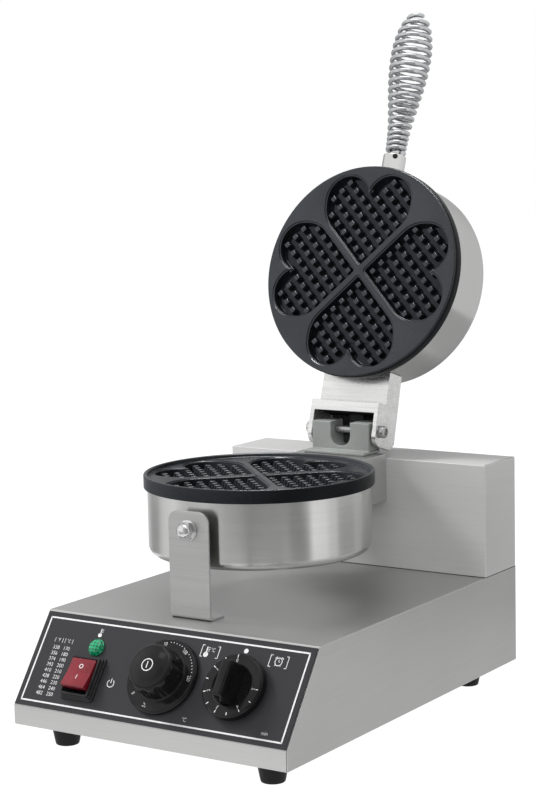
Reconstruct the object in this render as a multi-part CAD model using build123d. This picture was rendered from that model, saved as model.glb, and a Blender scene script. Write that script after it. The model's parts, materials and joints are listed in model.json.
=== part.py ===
from build123d import *
import math
import os

# A countertop waffle maker with one round head that bakes four hearts. Millimetres, +Z up.
# The front is at -Y and the origin is in the middle of the base, on the surface under the feet.
# The lid is drawn open. Its own frame has the hinge axis as origin, X along the hinge,
# Y from the hinge towards the handle and Z out of the baking face.

dome_steps = 3

# ---------------------------------------------------------------- base
base_width = 250.0
base_depth = 360.0
base_height = 80.8
lip_height = 15.9
slope_run = 47.1
sheet = 1.2
base_flange = 12.0
bottom_sheet = 1.2
bottom_gap = 0.3
foot_height = 18.0
foot_top_radius = 13.0
foot_bottom_radius = 9.7
foot_side_inset = 30.0
foot_front_inset = 27.0
foot_back_inset = 32.0
wire_hole_radius = 11.0
wire_hole_inset = 65.0

# ---------------------------------------------------------------- rear housing
rear_depth = 55.2
rear_height = 93.5
rear_flange = 10.0
cover_sheet = 1.0
cover_margin = 3.0
gland_inset = 45.0
gland_height = 24.0
gland_bore_radius = 3.7
gland_body_radius = 6.5
gland_collar_radius = 9.5
gland_collar_length = 3.0
gland_length = 13.0
gland_nut_length = 5.0
terminal_length = 58.0
terminal_width = 20.0
terminal_height = 17.0
terminal_ways = 5
terminal_slot = 1.2
terminal_slot_depth = 7.65

# ---------------------------------------------------------------- heads
head_offset = -6.0
head_rise = 100.5
plate_overhang = 2.9
plate_ring = 10.7
plate_floor = 6.4
plate_edge_step = 0.8
plate_edge_depth = 3.0
rim_wall = 3.4
rim_rise = 2.9
spigot_gap = 0.4
drum_radius = 89.3
drum_depth = 53.0
drum_wall = 1.0
drum_corner = 7.5
insulation_margin = 15.3
heater_margin = 23.3
heater_inner = 42.0
heater_height = 9.0
heater_sides = 12
sensor_radius = 3.0
sensor_length = 56.0
sensor_gap = 0.2

# ---------------------------------------------------------------- hearts and studs
lobe_radius = 22.5
lobe_x = 20.2
lobe_reach = 61.5
shoulder_radius = 28.7
heart_side_gap = 2.3
heart_tip_radius = 3.0
pocket_depth = 7.2
stud_pitch = 14.45
stud_row_step = 7.23
stud_first_row = 12.2
stud_rows = 10
stud_base = 6.2
stud_top = 4.2
stud_height = 5.2
stud_margin = 4.6

# ---------------------------------------------------------------- hinge
hinge_to_housing = 1.0
hinge_to_plate = 43.0
plate_drop = 14.9
closed_gap = 0.3
open_tilt = 73.4
pin_radius = 3.0
running_gap = 0.06
pin_head_radius = 5.25
pin_head_length = 5.6
pin_thread_radius = 2.5
pin_socket_flats = 4.8
block_half_width = 28.0
block_half_depth = 10.3
block_rise = 7.5
block_notch_half_width = 9.4
block_notch_drop = 3.5
block_flange_drop = 16.0
block_flange_thickness = 2.5
block_flange_half_width = 29.5
block_flange_front = 21.8
block_flange_back = 6.0
heel_inner = 12.0
heel_outer = 26.0
heel_top_drop = 9.0
stop_gap = 0.3

# ---------------------------------------------------------------- lid bracket (lid frame)
ear_outer = 33.8
ear_outer_at_drum = 32.5
ear_inner = 29.3
bracket_back = 25.5
bracket_back_wall = 4.5
bracket_block_front = 5.0
bracket_frame_front = 8.0
bracket_frame_top = 23.6
bracket_window_top = 14.5
bracket_wall_bottom = 8.7
bracket_ear_bottom = 13.3
ear_round = 10.0
ear_chamfer = 6.0
saddle_gap = 0.15
bolt_spread = 15.0
bracket_bolt_radius = 2.5
bracket_bolt_head_radius = 4.5
bracket_bolt_head = 3.0
bracket_bolt_thread = 12.0
bracket_arms_past_drum = 8.93
lead_channel_half_width = 8.6
lead_half_width = 7.5
lead_thickness = 5.0
lead_back = 8.0
lead_back_in_lid = 14.0
lead_clearance = 0.3
lead_top_drop = 7.0
lead_start_in_lid = 4.0
lead_into_drum = 4.0
lead_into_housing = 12.0

# ---------------------------------------------------------------- rear bracket
support_half_width = 38.0
support_drop = 40.0
support_wall = 2.0
support_ring_gap = 0.5
support_bolt_drop = 24.0

# ---------------------------------------------------------------- front strip
strip_width = 37.0
strip_thickness = 1.8
strip_height = 83.9
strip_corner = 8.5
strip_gap = 7.6
strip_foot = 18.7
strip_bend = 1.4
bolt_height = 69.2
bolt_radius = 4.0
bolt_gap = 0.1
bolt_head_radius = 6.5
bolt_head = 5.0
hex_flats = 13.0
washer_radius = 8.2
washer_thickness = 1.5
dome_hex_height = 4.2
dome_radius = 5.9
dome_height = 4.0
dome_cap = 1.6

# ---------------------------------------------------------------- handle (lid frame)
handle_tilt = 3.2
handle_back = 18.6
ferrule_radius = 9.95
ferrule_length = 21.0
ferrule_chamfer = 1.0
rod_radius = 4.6
rod_above = 22.0
rod_inside = 7.0
rod_nut_flats = 15.0
rod_nut_height = 5.0
wire_flats = 4.0
wire_sides = 8
coil_seat_gap = 0.25
tight_turns = 4
tight_pitch = 4.45
open_turns = 16
open_pitch = 6.8
coil_neck_radius = 7.2
coil_belly_radius = 16.3
coil_belly_height = 87.0
coil_top_reach = 41.5
coil_top_radius = 4.2
coil_steps = 10

# ---------------------------------------------------------------- control panel (panel frame)
panel_thickness = 0.8
panel_side_margin = 1.2
panel_bottom = 0.4
panel_top_margin = 1.8
lamp_inset = 58.5
lamp_up = 54.0
lamp_radius = 7.0
lamp_stem_radius = 5.8
lamp_rim = 2.2
lamp_crown = 4.8
lamp_length = 14.0
switch_inset = 56.6
switch_up = 28.4
switch_flange_width = 31.0
switch_flange_height = 36.0
switch_flange_thickness = 1.5
switch_collar_top = 7.0
switch_wall = 1.95
switch_step = 1.0
switch_step_top = 4.4
switch_depth = 24.0
switch_cavity_floor = 11.0
switch_corner = 2.5
rocker_width = 22.5
rocker_half_length = 12.2
rocker_rise = 8.8
rocker_pivot_height = 1.5
rocker_tilt = 9.3
rocker_waist = 4.0
rocker_bottom_half = 5.0
rocker_bottom_drop = 7.0
rocker_side_gap = 0.3
rocker_end_gap = 0.45
trunnion_radius = 1.5
trunnion_length = 1.1
knob_up = 39.0
knob_gap = 0.5
spindle_radius = 3.0
spindle_in_knob = 9.0
bush_radius = 4.8
bush_rise = 2.2
bush_cavity = 0.6
thermostat_x = 2.5
thermostat_skirt_radius = 30.0
thermostat_grip_radius = 19.8
thermostat_grip_base = 5.2
thermostat_grip_shoulder = 18.5
thermostat_grip_top = 26.0
thermostat_flutes = 10
thermostat_flute_radius = 7.0
thermostat_flute_depth = 1.1
thermostat_flute_top = 20.5
thermostat_body_width = 40.0
thermostat_body_height = 32.0
thermostat_body_depth = 22.0
timer_inset = 57.0
timer_radius = 25.1
timer_face = 8.8
timer_dish_radius = 15.4
timer_dish_floor = 4.6
timer_ribs = 14
timer_rib_width = 0.9
timer_rib_rise = 1.3
timer_bar_width = 10.4
timer_bar_top = 25.0
timer_bar_taper = 4.0
timer_body_width = 44.0
timer_body_height = 44.0
timer_body_depth = 26.0

# ---------------------------------------------------------------- places worked out from the sizes
base_bottom = foot_height
base_top = base_bottom + base_height
front_y = -base_depth / 2
back_y = base_depth / 2
slope_rise = base_height - lip_height
slope_angle = math.atan2(slope_rise, slope_run)
panel_top = math.hypot(slope_run, slope_rise) - panel_top_margin
wire_hole_x = base_width / 2 - wire_hole_inset
gland_x = base_width / 2 - gland_inset
lamp_x = lamp_inset - base_width / 2
switch_x = switch_inset - base_width / 2
timer_x = base_width / 2 - timer_inset
rear_front_y = back_y - rear_depth
rear_top = base_top + rear_height
plate_radius = drum_radius + plate_overhang
plate_reach = plate_radius + hinge_to_plate
insulation_radius = drum_radius - insulation_margin
heater_outer = drum_radius - heater_margin
rim_z = base_top + head_rise
ring_bottom_z = rim_z - plate_ring
hinge_y = rear_front_y - hinge_to_housing
hinge_z = rim_z + closed_gap + plate_drop
head_y = hinge_y - plate_reach
drum_inner = drum_radius - drum_wall
spigot_radius = drum_inner - spigot_gap
wall_cut = 3 * drum_wall + bolt_gap
block_bottom_z = hinge_z - block_flange_drop - block_flange_thickness

tilt = math.radians(open_tilt)
panel_frame = Plane(
    origin=(0, front_y, base_bottom + lip_height),
    x_dir=(1, 0, 0),
    z_dir=(0, -math.sin(slope_angle), math.cos(slope_angle)),
).location
lid_frame = Plane(
    origin=(head_offset, hinge_y, hinge_z),
    x_dir=(1, 0, 0),
    z_dir=(0, -math.sin(tilt), math.cos(tilt)),
).location
hinge_frame = Pos(head_offset, hinge_y, hinge_z)
lower_plate_frame = Pos(head_offset, head_y, rim_z)
upper_plate_frame = lid_frame * Pos(0, plate_reach, plate_drop)

parts = {}


def keep(name, shape):
    """Remember a finished piece under its node's name."""
    parts[name] = shape


def block(x0, x1, y0, y1, z0, z1):
    """A box between two corners."""
    return Pos((x0 + x1) / 2, (y0 + y1) / 2, (z0 + z1) / 2) * Box(x1 - x0, y1 - y0, z1 - z0)


def rod(radius, z0, z1):
    """A cylinder along Z between two heights."""
    return Pos(0, 0, z0) * Cylinder(radius, z1 - z0, align=(Align.CENTER, Align.CENTER, Align.MIN))


def side_profile(points, half_width):
    """A closed outline of (Y, Z) points, extruded evenly to both sides along X."""
    return extrude(Plane.YZ * make_face(Polyline(*points, close=True)), half_width, both=True)


def turned(points):
    """A solid of revolution around Z from (radius, height) points."""
    return revolve(Plane.XZ * make_face(Polyline(*points, close=True)), Axis.Z)


def hexagon(flats, z0, z1):
    """A hexagonal prism along Z, given its size across the flats."""
    return Pos(0, 0, z0) * extrude(RegularPolygon(flats / 2, 6, major_radius=False), z1 - z0)


def dome_points(radius, low, high):
    """Half of a dome's outline as (radius, height) points, from its rim to a small flat crown."""
    rise = high - low
    ball = (radius**2 + rise**2) / (2 * rise)
    spread = math.atan2(radius, ball - rise)
    points = []
    for i in range(dome_steps):
        angle = spread * (1 - i / dome_steps)
        points.append((ball * math.sin(angle), high - ball + ball * math.cos(angle)))
    return points + [(0, points[-1][1])]


# ---------------------------------------------------------------- base housing, bottom and feet
def base_outline():
    """Side view of the base: front lip, slope, flat top and back."""
    return [
        (front_y, base_bottom),
        (front_y, base_bottom + lip_height),
        (front_y + slope_run, base_top),
        (back_y, base_top),
        (back_y, base_bottom),
    ]


def panel_cutters():
    """Openings for the lamp, the switch and the two spindle bushes, from sheet to overlay."""
    low = -sheet - 1
    high = panel_thickness + 1
    lamp = Pos(lamp_x, lamp_up, 0) * rod(lamp_stem_radius + bolt_gap, low, high)
    half_w = switch_body_width() / 2 + bolt_gap
    half_h = switch_body_height() / 2 + bolt_gap
    switch = Pos(switch_x, switch_up, 0) * block(-half_w, half_w, -half_h, half_h, low, high)
    bushes = [Pos(x, knob_up, 0) * rod(bush_radius + bolt_gap, low, high) for x in (thermostat_x, timer_x)]
    return [lamp, switch] + bushes


def switch_body_width():
    return rocker_width + 2 * rocker_side_gap + 2 * switch_wall


def switch_opening_half():
    """Half the length that the tilted rocker sweeps, with its running gap."""
    angle = math.radians(rocker_tilt)
    return rocker_half_length * math.cos(angle) + rocker_rise * math.sin(angle) + rocker_end_gap


def switch_body_height():
    return 2 * (switch_opening_half() + switch_wall)


def make_base():
    outline = make_face(Polyline(*base_outline(), close=True))
    shell = extrude(Plane.YZ * outline, base_width / 2, both=True)
    inside = offset(outline, -sheet, kind=Kind.INTERSECTION)
    shell -= extrude(Plane.YZ * inside, base_width / 2 - sheet, both=True)
    edge_x = base_width / 2 - base_flange
    shell -= block(
        -edge_x, edge_x, front_y + base_flange, back_y - base_flange, base_bottom - 1, base_bottom + sheet + 1
    )
    shell -= [panel_frame * cutter for cutter in panel_cutters()]
    shell -= Pos(wire_hole_x, back_y - rear_depth / 2, 0) * rod(wire_hole_radius, base_top - sheet - 1, base_top + 1)
    keep("base_housing", shell)

    margin = sheet + bottom_gap
    bottom_z = base_bottom + sheet
    keep(
        "base_plate",
        block(
            -base_width / 2 + margin,
            base_width / 2 - margin,
            front_y + margin,
            back_y - margin,
            bottom_z,
            bottom_z + bottom_sheet,
        ),
    )

    foot_x = base_width / 2 - foot_side_inset
    foot_ys = (front_y + foot_front_inset, back_y - foot_back_inset)
    foot = turned([(0, 0), (foot_bottom_radius, 0), (foot_top_radius, bottom_z), (0, bottom_z)])
    keep("rubber_feet", Compound(children=[Pos(x, y, 0) * foot for x in (-foot_x, foot_x) for y in foot_ys]))


# ---------------------------------------------------------------- rear housing
def make_rear_housing():
    half = base_width / 2
    cover_front = back_y - cover_sheet
    shell = block(-half, half, rear_front_y, cover_front, base_top, rear_top)
    shell -= block(
        -half + sheet, half - sheet, rear_front_y + sheet, cover_front - sheet, base_top - 1, rear_top - sheet
    )
    shell -= block(
        -half + rear_flange,
        half - rear_flange,
        cover_front - 2 * sheet,
        cover_front + 1,
        base_top + rear_flange,
        rear_top - rear_flange,
    )
    grommet = Pos(head_offset, lead_y(), 0)
    shell -= grommet * lead_tube(lead_clearance / 2, rear_top - 2 * sheet, rear_top + 1)
    keep("rear_housing", shell)

    cover = block(
        -half + cover_margin,
        half - cover_margin,
        cover_front,
        back_y,
        base_top + cover_margin,
        rear_top - cover_margin,
    )
    gland_place = Pos(gland_x, cover_front, base_top + gland_height) * Rot(-90, 0, 0)
    cover -= gland_place * rod(gland_body_radius + bolt_gap, -1, cover_sheet + 1)
    keep("back_cover", cover)

    rim = cover_sheet + gland_collar_length
    gland = turned(
        [
            (gland_bore_radius, -gland_nut_length),
            (gland_collar_radius, -gland_nut_length),
            (gland_collar_radius, 0),
            (gland_body_radius, 0),
            (gland_body_radius, cover_sheet),
            (gland_collar_radius, cover_sheet),
            (gland_collar_radius, rim),
            (gland_body_radius, rim),
            (gland_body_radius, gland_length),
            (gland_bore_radius, gland_length),
        ]
    )
    keep("cable_gland", gland_place * gland)

    terminal = block(-terminal_length / 2, terminal_length / 2, 0, terminal_width, 0, terminal_height)
    way = terminal_length / terminal_ways
    slot_floor = terminal_height - terminal_slot_depth
    slot = block(-terminal_slot / 2, terminal_slot / 2, -1, terminal_width + 1, slot_floor, terminal_height + 1)
    terminal -= [Pos(way * (i + 1) - terminal_length / 2, 0, 0) * slot for i in range(terminal_ways - 1)]
    keep("terminal_block", Pos(-wire_hole_x, rear_front_y + rear_depth / 2 - terminal_width / 2, base_top) * terminal)


# ---------------------------------------------------------------- heads: plates, drums and what is in them
def heart_outline():
    """One heart with its tip near the origin, its lobes towards +Y and its long sides at 45 degrees."""
    side = math.sqrt(2) * heart_side_gap
    edge = lobe_x + lobe_radius
    notch = (0, lobe_reach + math.sqrt(lobe_radius**2 - lobe_x**2))
    lobe_top = (lobe_x, lobe_reach + lobe_radius)
    lobe_edge = (edge, lobe_reach)
    turn = math.radians(45)
    centre_x = edge - shoulder_radius
    centre_y = centre_x + side + 2 * shoulder_radius * math.sin(turn)
    shoulder_start = (edge, centre_y)
    shoulder_mid = (
        centre_x + shoulder_radius * math.cos(turn / 2),
        centre_y - shoulder_radius * math.sin(turn / 2),
    )
    shoulder_end = (
        centre_x + shoulder_radius * math.cos(turn),
        centre_y - shoulder_radius * math.sin(turn),
    )
    tip_x = heart_tip_radius * math.sin(turn)
    tip_side = (tip_x, tip_x + side)
    tip_low = (0, side + heart_tip_radius * (math.sqrt(2) - 1))
    half = [
        ThreePointArc(notch, lobe_top, lobe_edge),
        Line(lobe_edge, shoulder_start),
        ThreePointArc(shoulder_start, shoulder_mid, shoulder_end),
        Line(shoulder_end, tip_side),
    ]
    other_half = [mirror(line, Plane.YZ) for line in half]
    tip = ThreePointArc(tip_side, tip_low, (-tip_x, tip_side[1]))
    return make_face(half + other_half + [tip])


def stud_places(outline):
    """Centres of the studs: a square lattice turned by 45 degrees, kept clear of the heart's wall.

    Only on the middle line does a stud meet the wall, under the notch between the lobes.
    """
    inside = offset(outline, -stud_margin)
    places = []
    for row in range(stud_rows):
        y = stud_first_row + row * stud_row_step
        shift = stud_pitch / 2 if row % 2 else 0
        for column in range(-stud_rows, stud_rows):
            spot = Vector(column * stud_pitch + shift, y, 0)
            allowed = outline if spot.X == 0 else inside
            if any(face.is_inside(spot, 0.001) for face in allowed.faces()):
                places.append(spot)
    return places


def heart_pocket():
    """What the mould leaves open for one heart: a pocket without the tapered studs on its floor."""
    outline = heart_outline()
    pocket = extrude(outline, -pocket_depth)
    stud_taper = math.degrees(math.atan2((stud_base - stud_top) / 2, stud_height))
    foot = Rot(0, 0, 45) * Rectangle(stud_base, stud_base)
    stud = Pos(0, 0, -pocket_depth) * extrude(foot, stud_height, taper=stud_taper)
    return pocket - [Pos(spot) * stud for spot in stud_places(outline)]


def plate(pocket, face_drop):
    """A cast baking plate: outer band, spigot that centres it in the drum, and four heart pockets."""
    depth = face_drop + pocket_depth + plate_floor
    casting = rod(spigot_radius, -depth, -plate_ring)
    casting += rod(plate_radius, -plate_ring, 0)
    if face_drop > 0:
        casting -= rod(plate_radius - rim_wall, -face_drop, 1)
    else:
        casting -= rod(plate_radius + 1, -plate_edge_depth, 1) - rod(plate_radius - plate_edge_step, -plate_ring, 1)
    return casting - [Pos(0, 0, -face_drop) * Rot(0, 0, 90 * i) * pocket for i in range(4)]


def drum():
    """A drawn cup that carries the plate on its rim, with a bottom corner broken in two steps."""
    top = -plate_ring
    low = top - drum_depth
    knee = drum_radius - drum_corner
    dip = drum_corner * (1 - math.sqrt(0.5))
    return turned(
        [
            (0, low),
            (knee, low),
            (drum_radius - dip, low + dip),
            (drum_radius, low + drum_corner),
            (drum_radius, top),
            (drum_inner, top),
            (drum_inner, low + drum_corner),
            (knee, low + drum_wall),
            (0, low + drum_wall),
        ]
    )


def heater(face_drop):
    """The ring-shaped heating element, clamped against the back of the plate."""
    top = -(face_drop + pocket_depth + plate_floor)
    ring = RegularPolygon(heater_outer, heater_sides) - RegularPolygon(heater_inner, heater_sides)
    return Pos(0, 0, top - heater_height) * extrude(ring, heater_height)


def insulation(face_drop):
    """The mineral pad between the heating element and the drum's floor."""
    top = -(face_drop + pocket_depth + plate_floor + heater_height)
    low = -plate_ring - drum_depth + drum_wall
    return Pos(0, 0, low) * extrude(RegularPolygon(insulation_radius, heater_sides), top - low)


def radial_place(angle, height):
    """A place on the drum's axis at a height, with Z pointing outwards at an angle from -Y."""
    return Pos(0, 0, height) * Rot(0, 0, angle) * Rot(90, 0, 0)


def drum_bolt(place, reach):
    """A bolt from inside the drum, with its head on the drum's wall and its shank ending at a radius."""
    seat = math.sqrt(drum_inner**2 - bracket_bolt_head_radius**2) - bolt_gap
    return place * (
        rod(bracket_bolt_head_radius, seat - bracket_bolt_head, seat) + rod(bracket_bolt_radius, seat, reach)
    )


def drum_bolt_hole(place, reach):
    return place * rod(bracket_bolt_radius + bolt_gap, drum_radius - wall_cut, reach + bolt_gap)


def lead_tube(gap, low, high):
    """The flat sleeve round the lid's leads, from one height to another, with an added gap."""
    width = 2 * (lead_half_width + gap)
    thickness = lead_thickness + 2 * gap
    return Pos(0, 0, low) * extrude(SlotOverall(width, thickness), high - low)


def lead_y():
    """How far back the base's part of the sleeve stands."""
    return hinge_y + lead_back


support_angles = (180 - bolt_spread, 180 + bolt_spread)
lid_angles = (-bolt_spread, bolt_spread)
support_bolt_z = block_bottom_z - support_bolt_drop - rim_z
bracket_bolt_w = -(bracket_back + bracket_block_front) / 2 - plate_drop
support_bolt_reach = plate_radius + support_ring_gap
bracket_bolt_reach = drum_radius + bracket_bolt_thread
strip_bolt_place = Pos(head_offset, head_y - drum_radius, base_top + bolt_height) * Rot(90, 0, 0)
handle_place = lid_frame * Pos(0, plate_reach + drum_radius, -handle_back) * Rot(-90 - handle_tilt, 0, 0)
lid_lead_place = lid_frame * Pos(0, 0, -lead_back_in_lid) * Rot(-90, 0, 0)


def make_lower_head(pocket):
    keep("lower_plate", lower_plate_frame * plate(pocket, rim_rise))
    cup = lower_plate_frame * drum()
    cup -= strip_bolt_place * rod(bolt_radius + bolt_gap, -wall_cut, wall_cut)
    for angle in support_angles:
        cup -= lower_plate_frame * drum_bolt_hole(radial_place(angle, support_bolt_z), support_bolt_reach)
    keep("lower_drum", cup)
    keep("lower_heating_element", lower_plate_frame * heater(rim_rise))
    keep("lower_insulation", lower_plate_frame * insulation(rim_rise))
    bolts = [drum_bolt(radial_place(angle, support_bolt_z), support_bolt_reach) for angle in support_angles]
    keep("support_bolts", Compound(children=[lower_plate_frame * bolt for bolt in bolts]))
    bulb_z = -(rim_rise + pocket_depth + plate_floor) - sensor_gap - sensor_radius
    bulb = Rot(0, 90, 0) * Cylinder(sensor_radius, sensor_length)
    keep("sensor_bulb", lower_plate_frame * Pos(0, 0, bulb_z) * bulb)


def make_upper_head(pocket):
    keep("upper_plate", upper_plate_frame * plate(pocket, 0))
    cup = upper_plate_frame * drum()
    for angle in lid_angles:
        cup -= upper_plate_frame * drum_bolt_hole(radial_place(angle, bracket_bolt_w), bracket_bolt_reach)
    cup -= handle_place * rod(rod_radius + bolt_gap, -wall_cut, wall_cut)
    wall_r = plate_reach - drum_radius
    cup -= lid_lead_place * lead_tube(lead_clearance, wall_r - wall_cut, wall_r + wall_cut)
    keep("upper_drum", cup)
    keep("upper_heating_element", upper_plate_frame * heater(0))
    keep("upper_insulation", upper_plate_frame * insulation(0))
    bolts = [drum_bolt(radial_place(angle, bracket_bolt_w), bracket_bolt_reach) for angle in lid_angles]
    keep("lid_bracket_bolts", Compound(children=[upper_plate_frame * bolt for bolt in bolts]))


# ---------------------------------------------------------------- what carries the lower head
def make_supports():
    low = block_bottom_z - support_drop
    inner = plate_radius + support_ring_gap
    half = support_half_width
    x0 = head_offset - half
    x1 = head_offset + half
    support = block(x0, x1, head_y, rear_front_y, low, block_bottom_z)
    support -= Pos(head_offset, head_y, 0) * rod(drum_radius + saddle_gap, low - 1, block_bottom_z + 1)
    support -= Pos(head_offset, head_y, 0) * rod(inner, ring_bottom_z - support_ring_gap, block_bottom_z + 1)
    hollow = block(
        x0 + support_wall,
        x1 - support_wall,
        head_y,
        rear_front_y - support_wall,
        low - 1,
        block_bottom_z - support_wall,
    )
    hollow -= Pos(head_offset, head_y, 0) * rod(inner + support_wall, low - 2, block_bottom_z)
    support -= hollow
    for angle in support_angles:
        support -= lower_plate_frame * drum_bolt_hole(radial_place(angle, support_bolt_z), support_bolt_reach)
    keep("rear_support", support)

    back = head_y - drum_radius - strip_gap
    front = back - strip_thickness
    top = base_top + strip_height
    bar = side_profile(
        [
            (front, base_top),
            (front, top),
            (back, top),
            (back, base_top + strip_thickness),
            (front + strip_foot, base_top + strip_thickness),
            (front + strip_foot, base_top),
        ],
        strip_width / 2,
    )
    along_x = bar.edges().filter_by(Axis.X)
    bar = fillet(along_x.sort_by_distance((0, front, base_top))[0], strip_bend + strip_thickness)
    along_x = bar.edges().filter_by(Axis.X)
    bar = fillet(along_x.sort_by_distance((0, back, base_top + strip_thickness))[0], strip_bend)
    corners = bar.edges().filter_by(Axis.Y).filter_by_position(Axis.Z, top - 0.1, top + 0.1)
    bar = Pos(head_offset, 0, 0) * fillet(corners, strip_corner)
    keep("front_strip", bar - strip_bolt_place * rod(bolt_radius + bolt_gap, 0, strip_gap + strip_thickness + 1))


def make_strip_bolt():
    strip_front = strip_gap + strip_thickness
    nut_seat = strip_front + washer_thickness
    shank_end = nut_seat + dome_hex_height + dome_height - dome_cap - bolt_gap
    seat = -drum_wall - (drum_inner - math.sqrt(drum_inner**2 - bolt_head_radius**2)) - bolt_gap
    bolt = rod(bolt_head_radius, seat - bolt_head, seat) + rod(bolt_radius, seat, shank_end)
    keep("strip_bolt", strip_bolt_place * bolt)
    bore = rod(bolt_radius + bolt_gap, -1, shank_end + bolt_gap)
    keep("spacer_nut", strip_bolt_place * (hexagon(hex_flats, 0, strip_gap) - bore))
    keep("strip_washer", strip_bolt_place * (rod(washer_radius, strip_front, nut_seat) - bore))
    hex_top = nut_seat + dome_hex_height
    crown = dome_points(dome_radius, hex_top, hex_top + dome_height)
    dome = turned([(0, nut_seat), (dome_radius, nut_seat)] + crown)
    keep("dome_nut", strip_bolt_place * (hexagon(hex_flats, nut_seat, hex_top) + dome - bore))


# ---------------------------------------------------------------- hinge
def stop_point(z):
    """Where the plane of the open stop stands at a height above or below the hinge axis."""
    w = -(bracket_back - bracket_back_wall) + stop_gap
    r = (z - w * math.cos(tilt)) / math.sin(tilt)
    return (r * math.cos(tilt) - w * math.sin(tilt), z)


def along_hinge(radius, x0, x1):
    return Pos(x0, 0, 0) * Rot(0, 90, 0) * rod(radius, 0, x1 - x0)


def make_hinge():
    floor = -block_flange_drop
    half = block_half_width
    casting = block(-half, half, -block_half_depth, block_half_depth, floor, block_rise)
    flange_half = block_flange_half_width
    flange_low = floor - block_flange_thickness
    casting += block(-flange_half, flange_half, -block_flange_front, block_flange_back, flange_low, floor)
    heel = [(0, floor), (0, -heel_top_drop), stop_point(-heel_top_drop), stop_point(floor)]
    heel_middle = (heel_inner + heel_outer) / 2
    heel_half = (heel_outer - heel_inner) / 2
    casting += [Pos(x, 0, 0) * side_profile(heel, heel_half) for x in (-heel_middle, heel_middle)]
    notch = block_notch_half_width
    casting -= block(-notch, notch, -block_half_depth - 1, block_half_depth + 1, -block_notch_drop, block_rise + 1)
    casting -= Pos(0, 0, -block_notch_drop) * Rot(90, 0, 0) * Cylinder(notch, 2 * block_half_depth + 2)
    channel = lead_channel_half_width
    lead_front = lead_back - lead_thickness / 2 - 2 * lead_clearance
    casting -= block(-channel, channel, lead_front, block_half_depth + 1, flange_low - 1, 0)
    casting -= along_hinge(pin_radius + running_gap, -half - 1, half + 1)
    keep("hinge_block", hinge_frame * casting)

    head_seat = ear_outer - saddle_gap
    pin = along_hinge(pin_radius, -head_seat + bolt_gap, head_seat)
    pin += along_hinge(pin_head_radius, head_seat, head_seat + pin_head_length)
    socket_depth = pin_head_length / 2
    socket = hexagon(pin_socket_flats, 0, socket_depth + 1)
    socket = Pos(head_seat + pin_head_length - socket_depth, 0, 0) * Rot(0, 90, 0) * socket
    thread_end = head_seat + pin_head_length - dome_cap
    pin += along_hinge(pin_thread_radius, -thread_end + bolt_gap, -head_seat + bolt_gap)
    keep("hinge_pin", hinge_frame * (pin - socket))

    crown = dome_points(pin_head_radius, pin_head_length / 2, pin_head_length)
    nut = turned([(0, 0), (pin_head_radius, 0)] + crown)
    nut -= rod(pin_thread_radius + bolt_gap, -1, pin_head_length - dome_cap)
    keep("hinge_cap_nut", hinge_frame * Pos(-head_seat, 0, 0) * Rot(0, -90, 0) * nut)


def make_lid_bracket():
    reach = plate_reach - drum_radius + bracket_arms_past_drum
    front = bracket_frame_front
    profile = make_face(
        Polyline(
            (-bracket_ear_bottom, -bracket_back + ear_chamfer),
            (-bracket_ear_bottom, front),
            (bracket_frame_top, front),
            (bracket_frame_top, -bracket_block_front),
            (reach, -bracket_block_front),
            (reach, -bracket_back),
            (-bracket_ear_bottom + ear_chamfer, -bracket_back),
            close=True,
        )
    )
    corner = profile.vertices().sort_by_distance((-bracket_ear_bottom, front, 0))[0]
    profile = fillet(corner, ear_round)
    casting = extrude(Plane.YZ * profile, ear_outer, both=True)
    face = make_face(
        Polyline(
            (-ear_outer, -bracket_ear_bottom),
            (ear_outer, -bracket_ear_bottom),
            (ear_outer_at_drum, reach),
            (-ear_outer_at_drum, reach),
            close=True,
        )
    )
    casting &= Pos(0, 0, -bracket_back) * extrude(face, bracket_back + front)
    inner = ear_inner
    low = -bracket_ear_bottom - 1
    wall = -bracket_back + bracket_back_wall
    casting -= block(-inner, inner, low, bracket_window_top, wall, front + 1)
    casting -= block(-inner, inner, low, -bracket_wall_bottom, -bracket_back - 1, front + 1)
    casting -= Pos(0, plate_reach, 0) * Cylinder(drum_radius + saddle_gap, 4 * bracket_back)
    casting -= along_hinge(pin_radius + running_gap, -ear_outer - 1, ear_outer + 1)
    casting = lid_frame * casting
    casting -= lid_lead_place * lead_tube(lead_clearance, bracket_window_top - 1, reach)
    for angle in lid_angles:
        casting -= upper_plate_frame * drum_bolt_hole(radial_place(angle, bracket_bolt_w), bracket_bolt_reach)
    keep("lid_bracket", casting)


def make_leads():
    place = Pos(head_offset, lead_y(), 0)
    keep("base_lead_sleeve", place * lead_tube(0, rear_top - lead_into_housing, hinge_z - lead_top_drop))
    end = plate_reach - drum_radius + drum_wall + lead_into_drum
    keep("lid_lead_sleeve", lid_lead_place * lead_tube(0, lead_start_in_lid, end))


# ---------------------------------------------------------------- handle
def coil_radius(h):
    """Radius of the wire's middle line: a narrow neck that swells to the belly and closes at the top."""
    if h < coil_belly_height:
        swell = (1 - math.cos(math.pi * h / coil_belly_height)) / 2
        return coil_neck_radius + (coil_belly_radius - coil_neck_radius) * swell
    share = (h - coil_belly_height) / coil_top_reach
    return max(coil_top_radius, coil_belly_radius * math.sqrt(max(0, 1 - share**2)))


def coil_path():
    """Points along the wire's middle line, in straight steps that keep the coil's mean radius."""
    widen = (1 + 1 / math.cos(math.pi / coil_steps)) / 2
    points = []
    for i in range((tight_turns + open_turns) * coil_steps + 1):
        turn = i / coil_steps
        h = min(turn, tight_turns) * tight_pitch + max(0, turn - tight_turns) * open_pitch
        radius = coil_radius(h) * widen
        angle = 2 * math.pi * turn
        points.append((radius * math.cos(angle), radius * math.sin(angle), h))
    return Polyline(*points)


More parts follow.
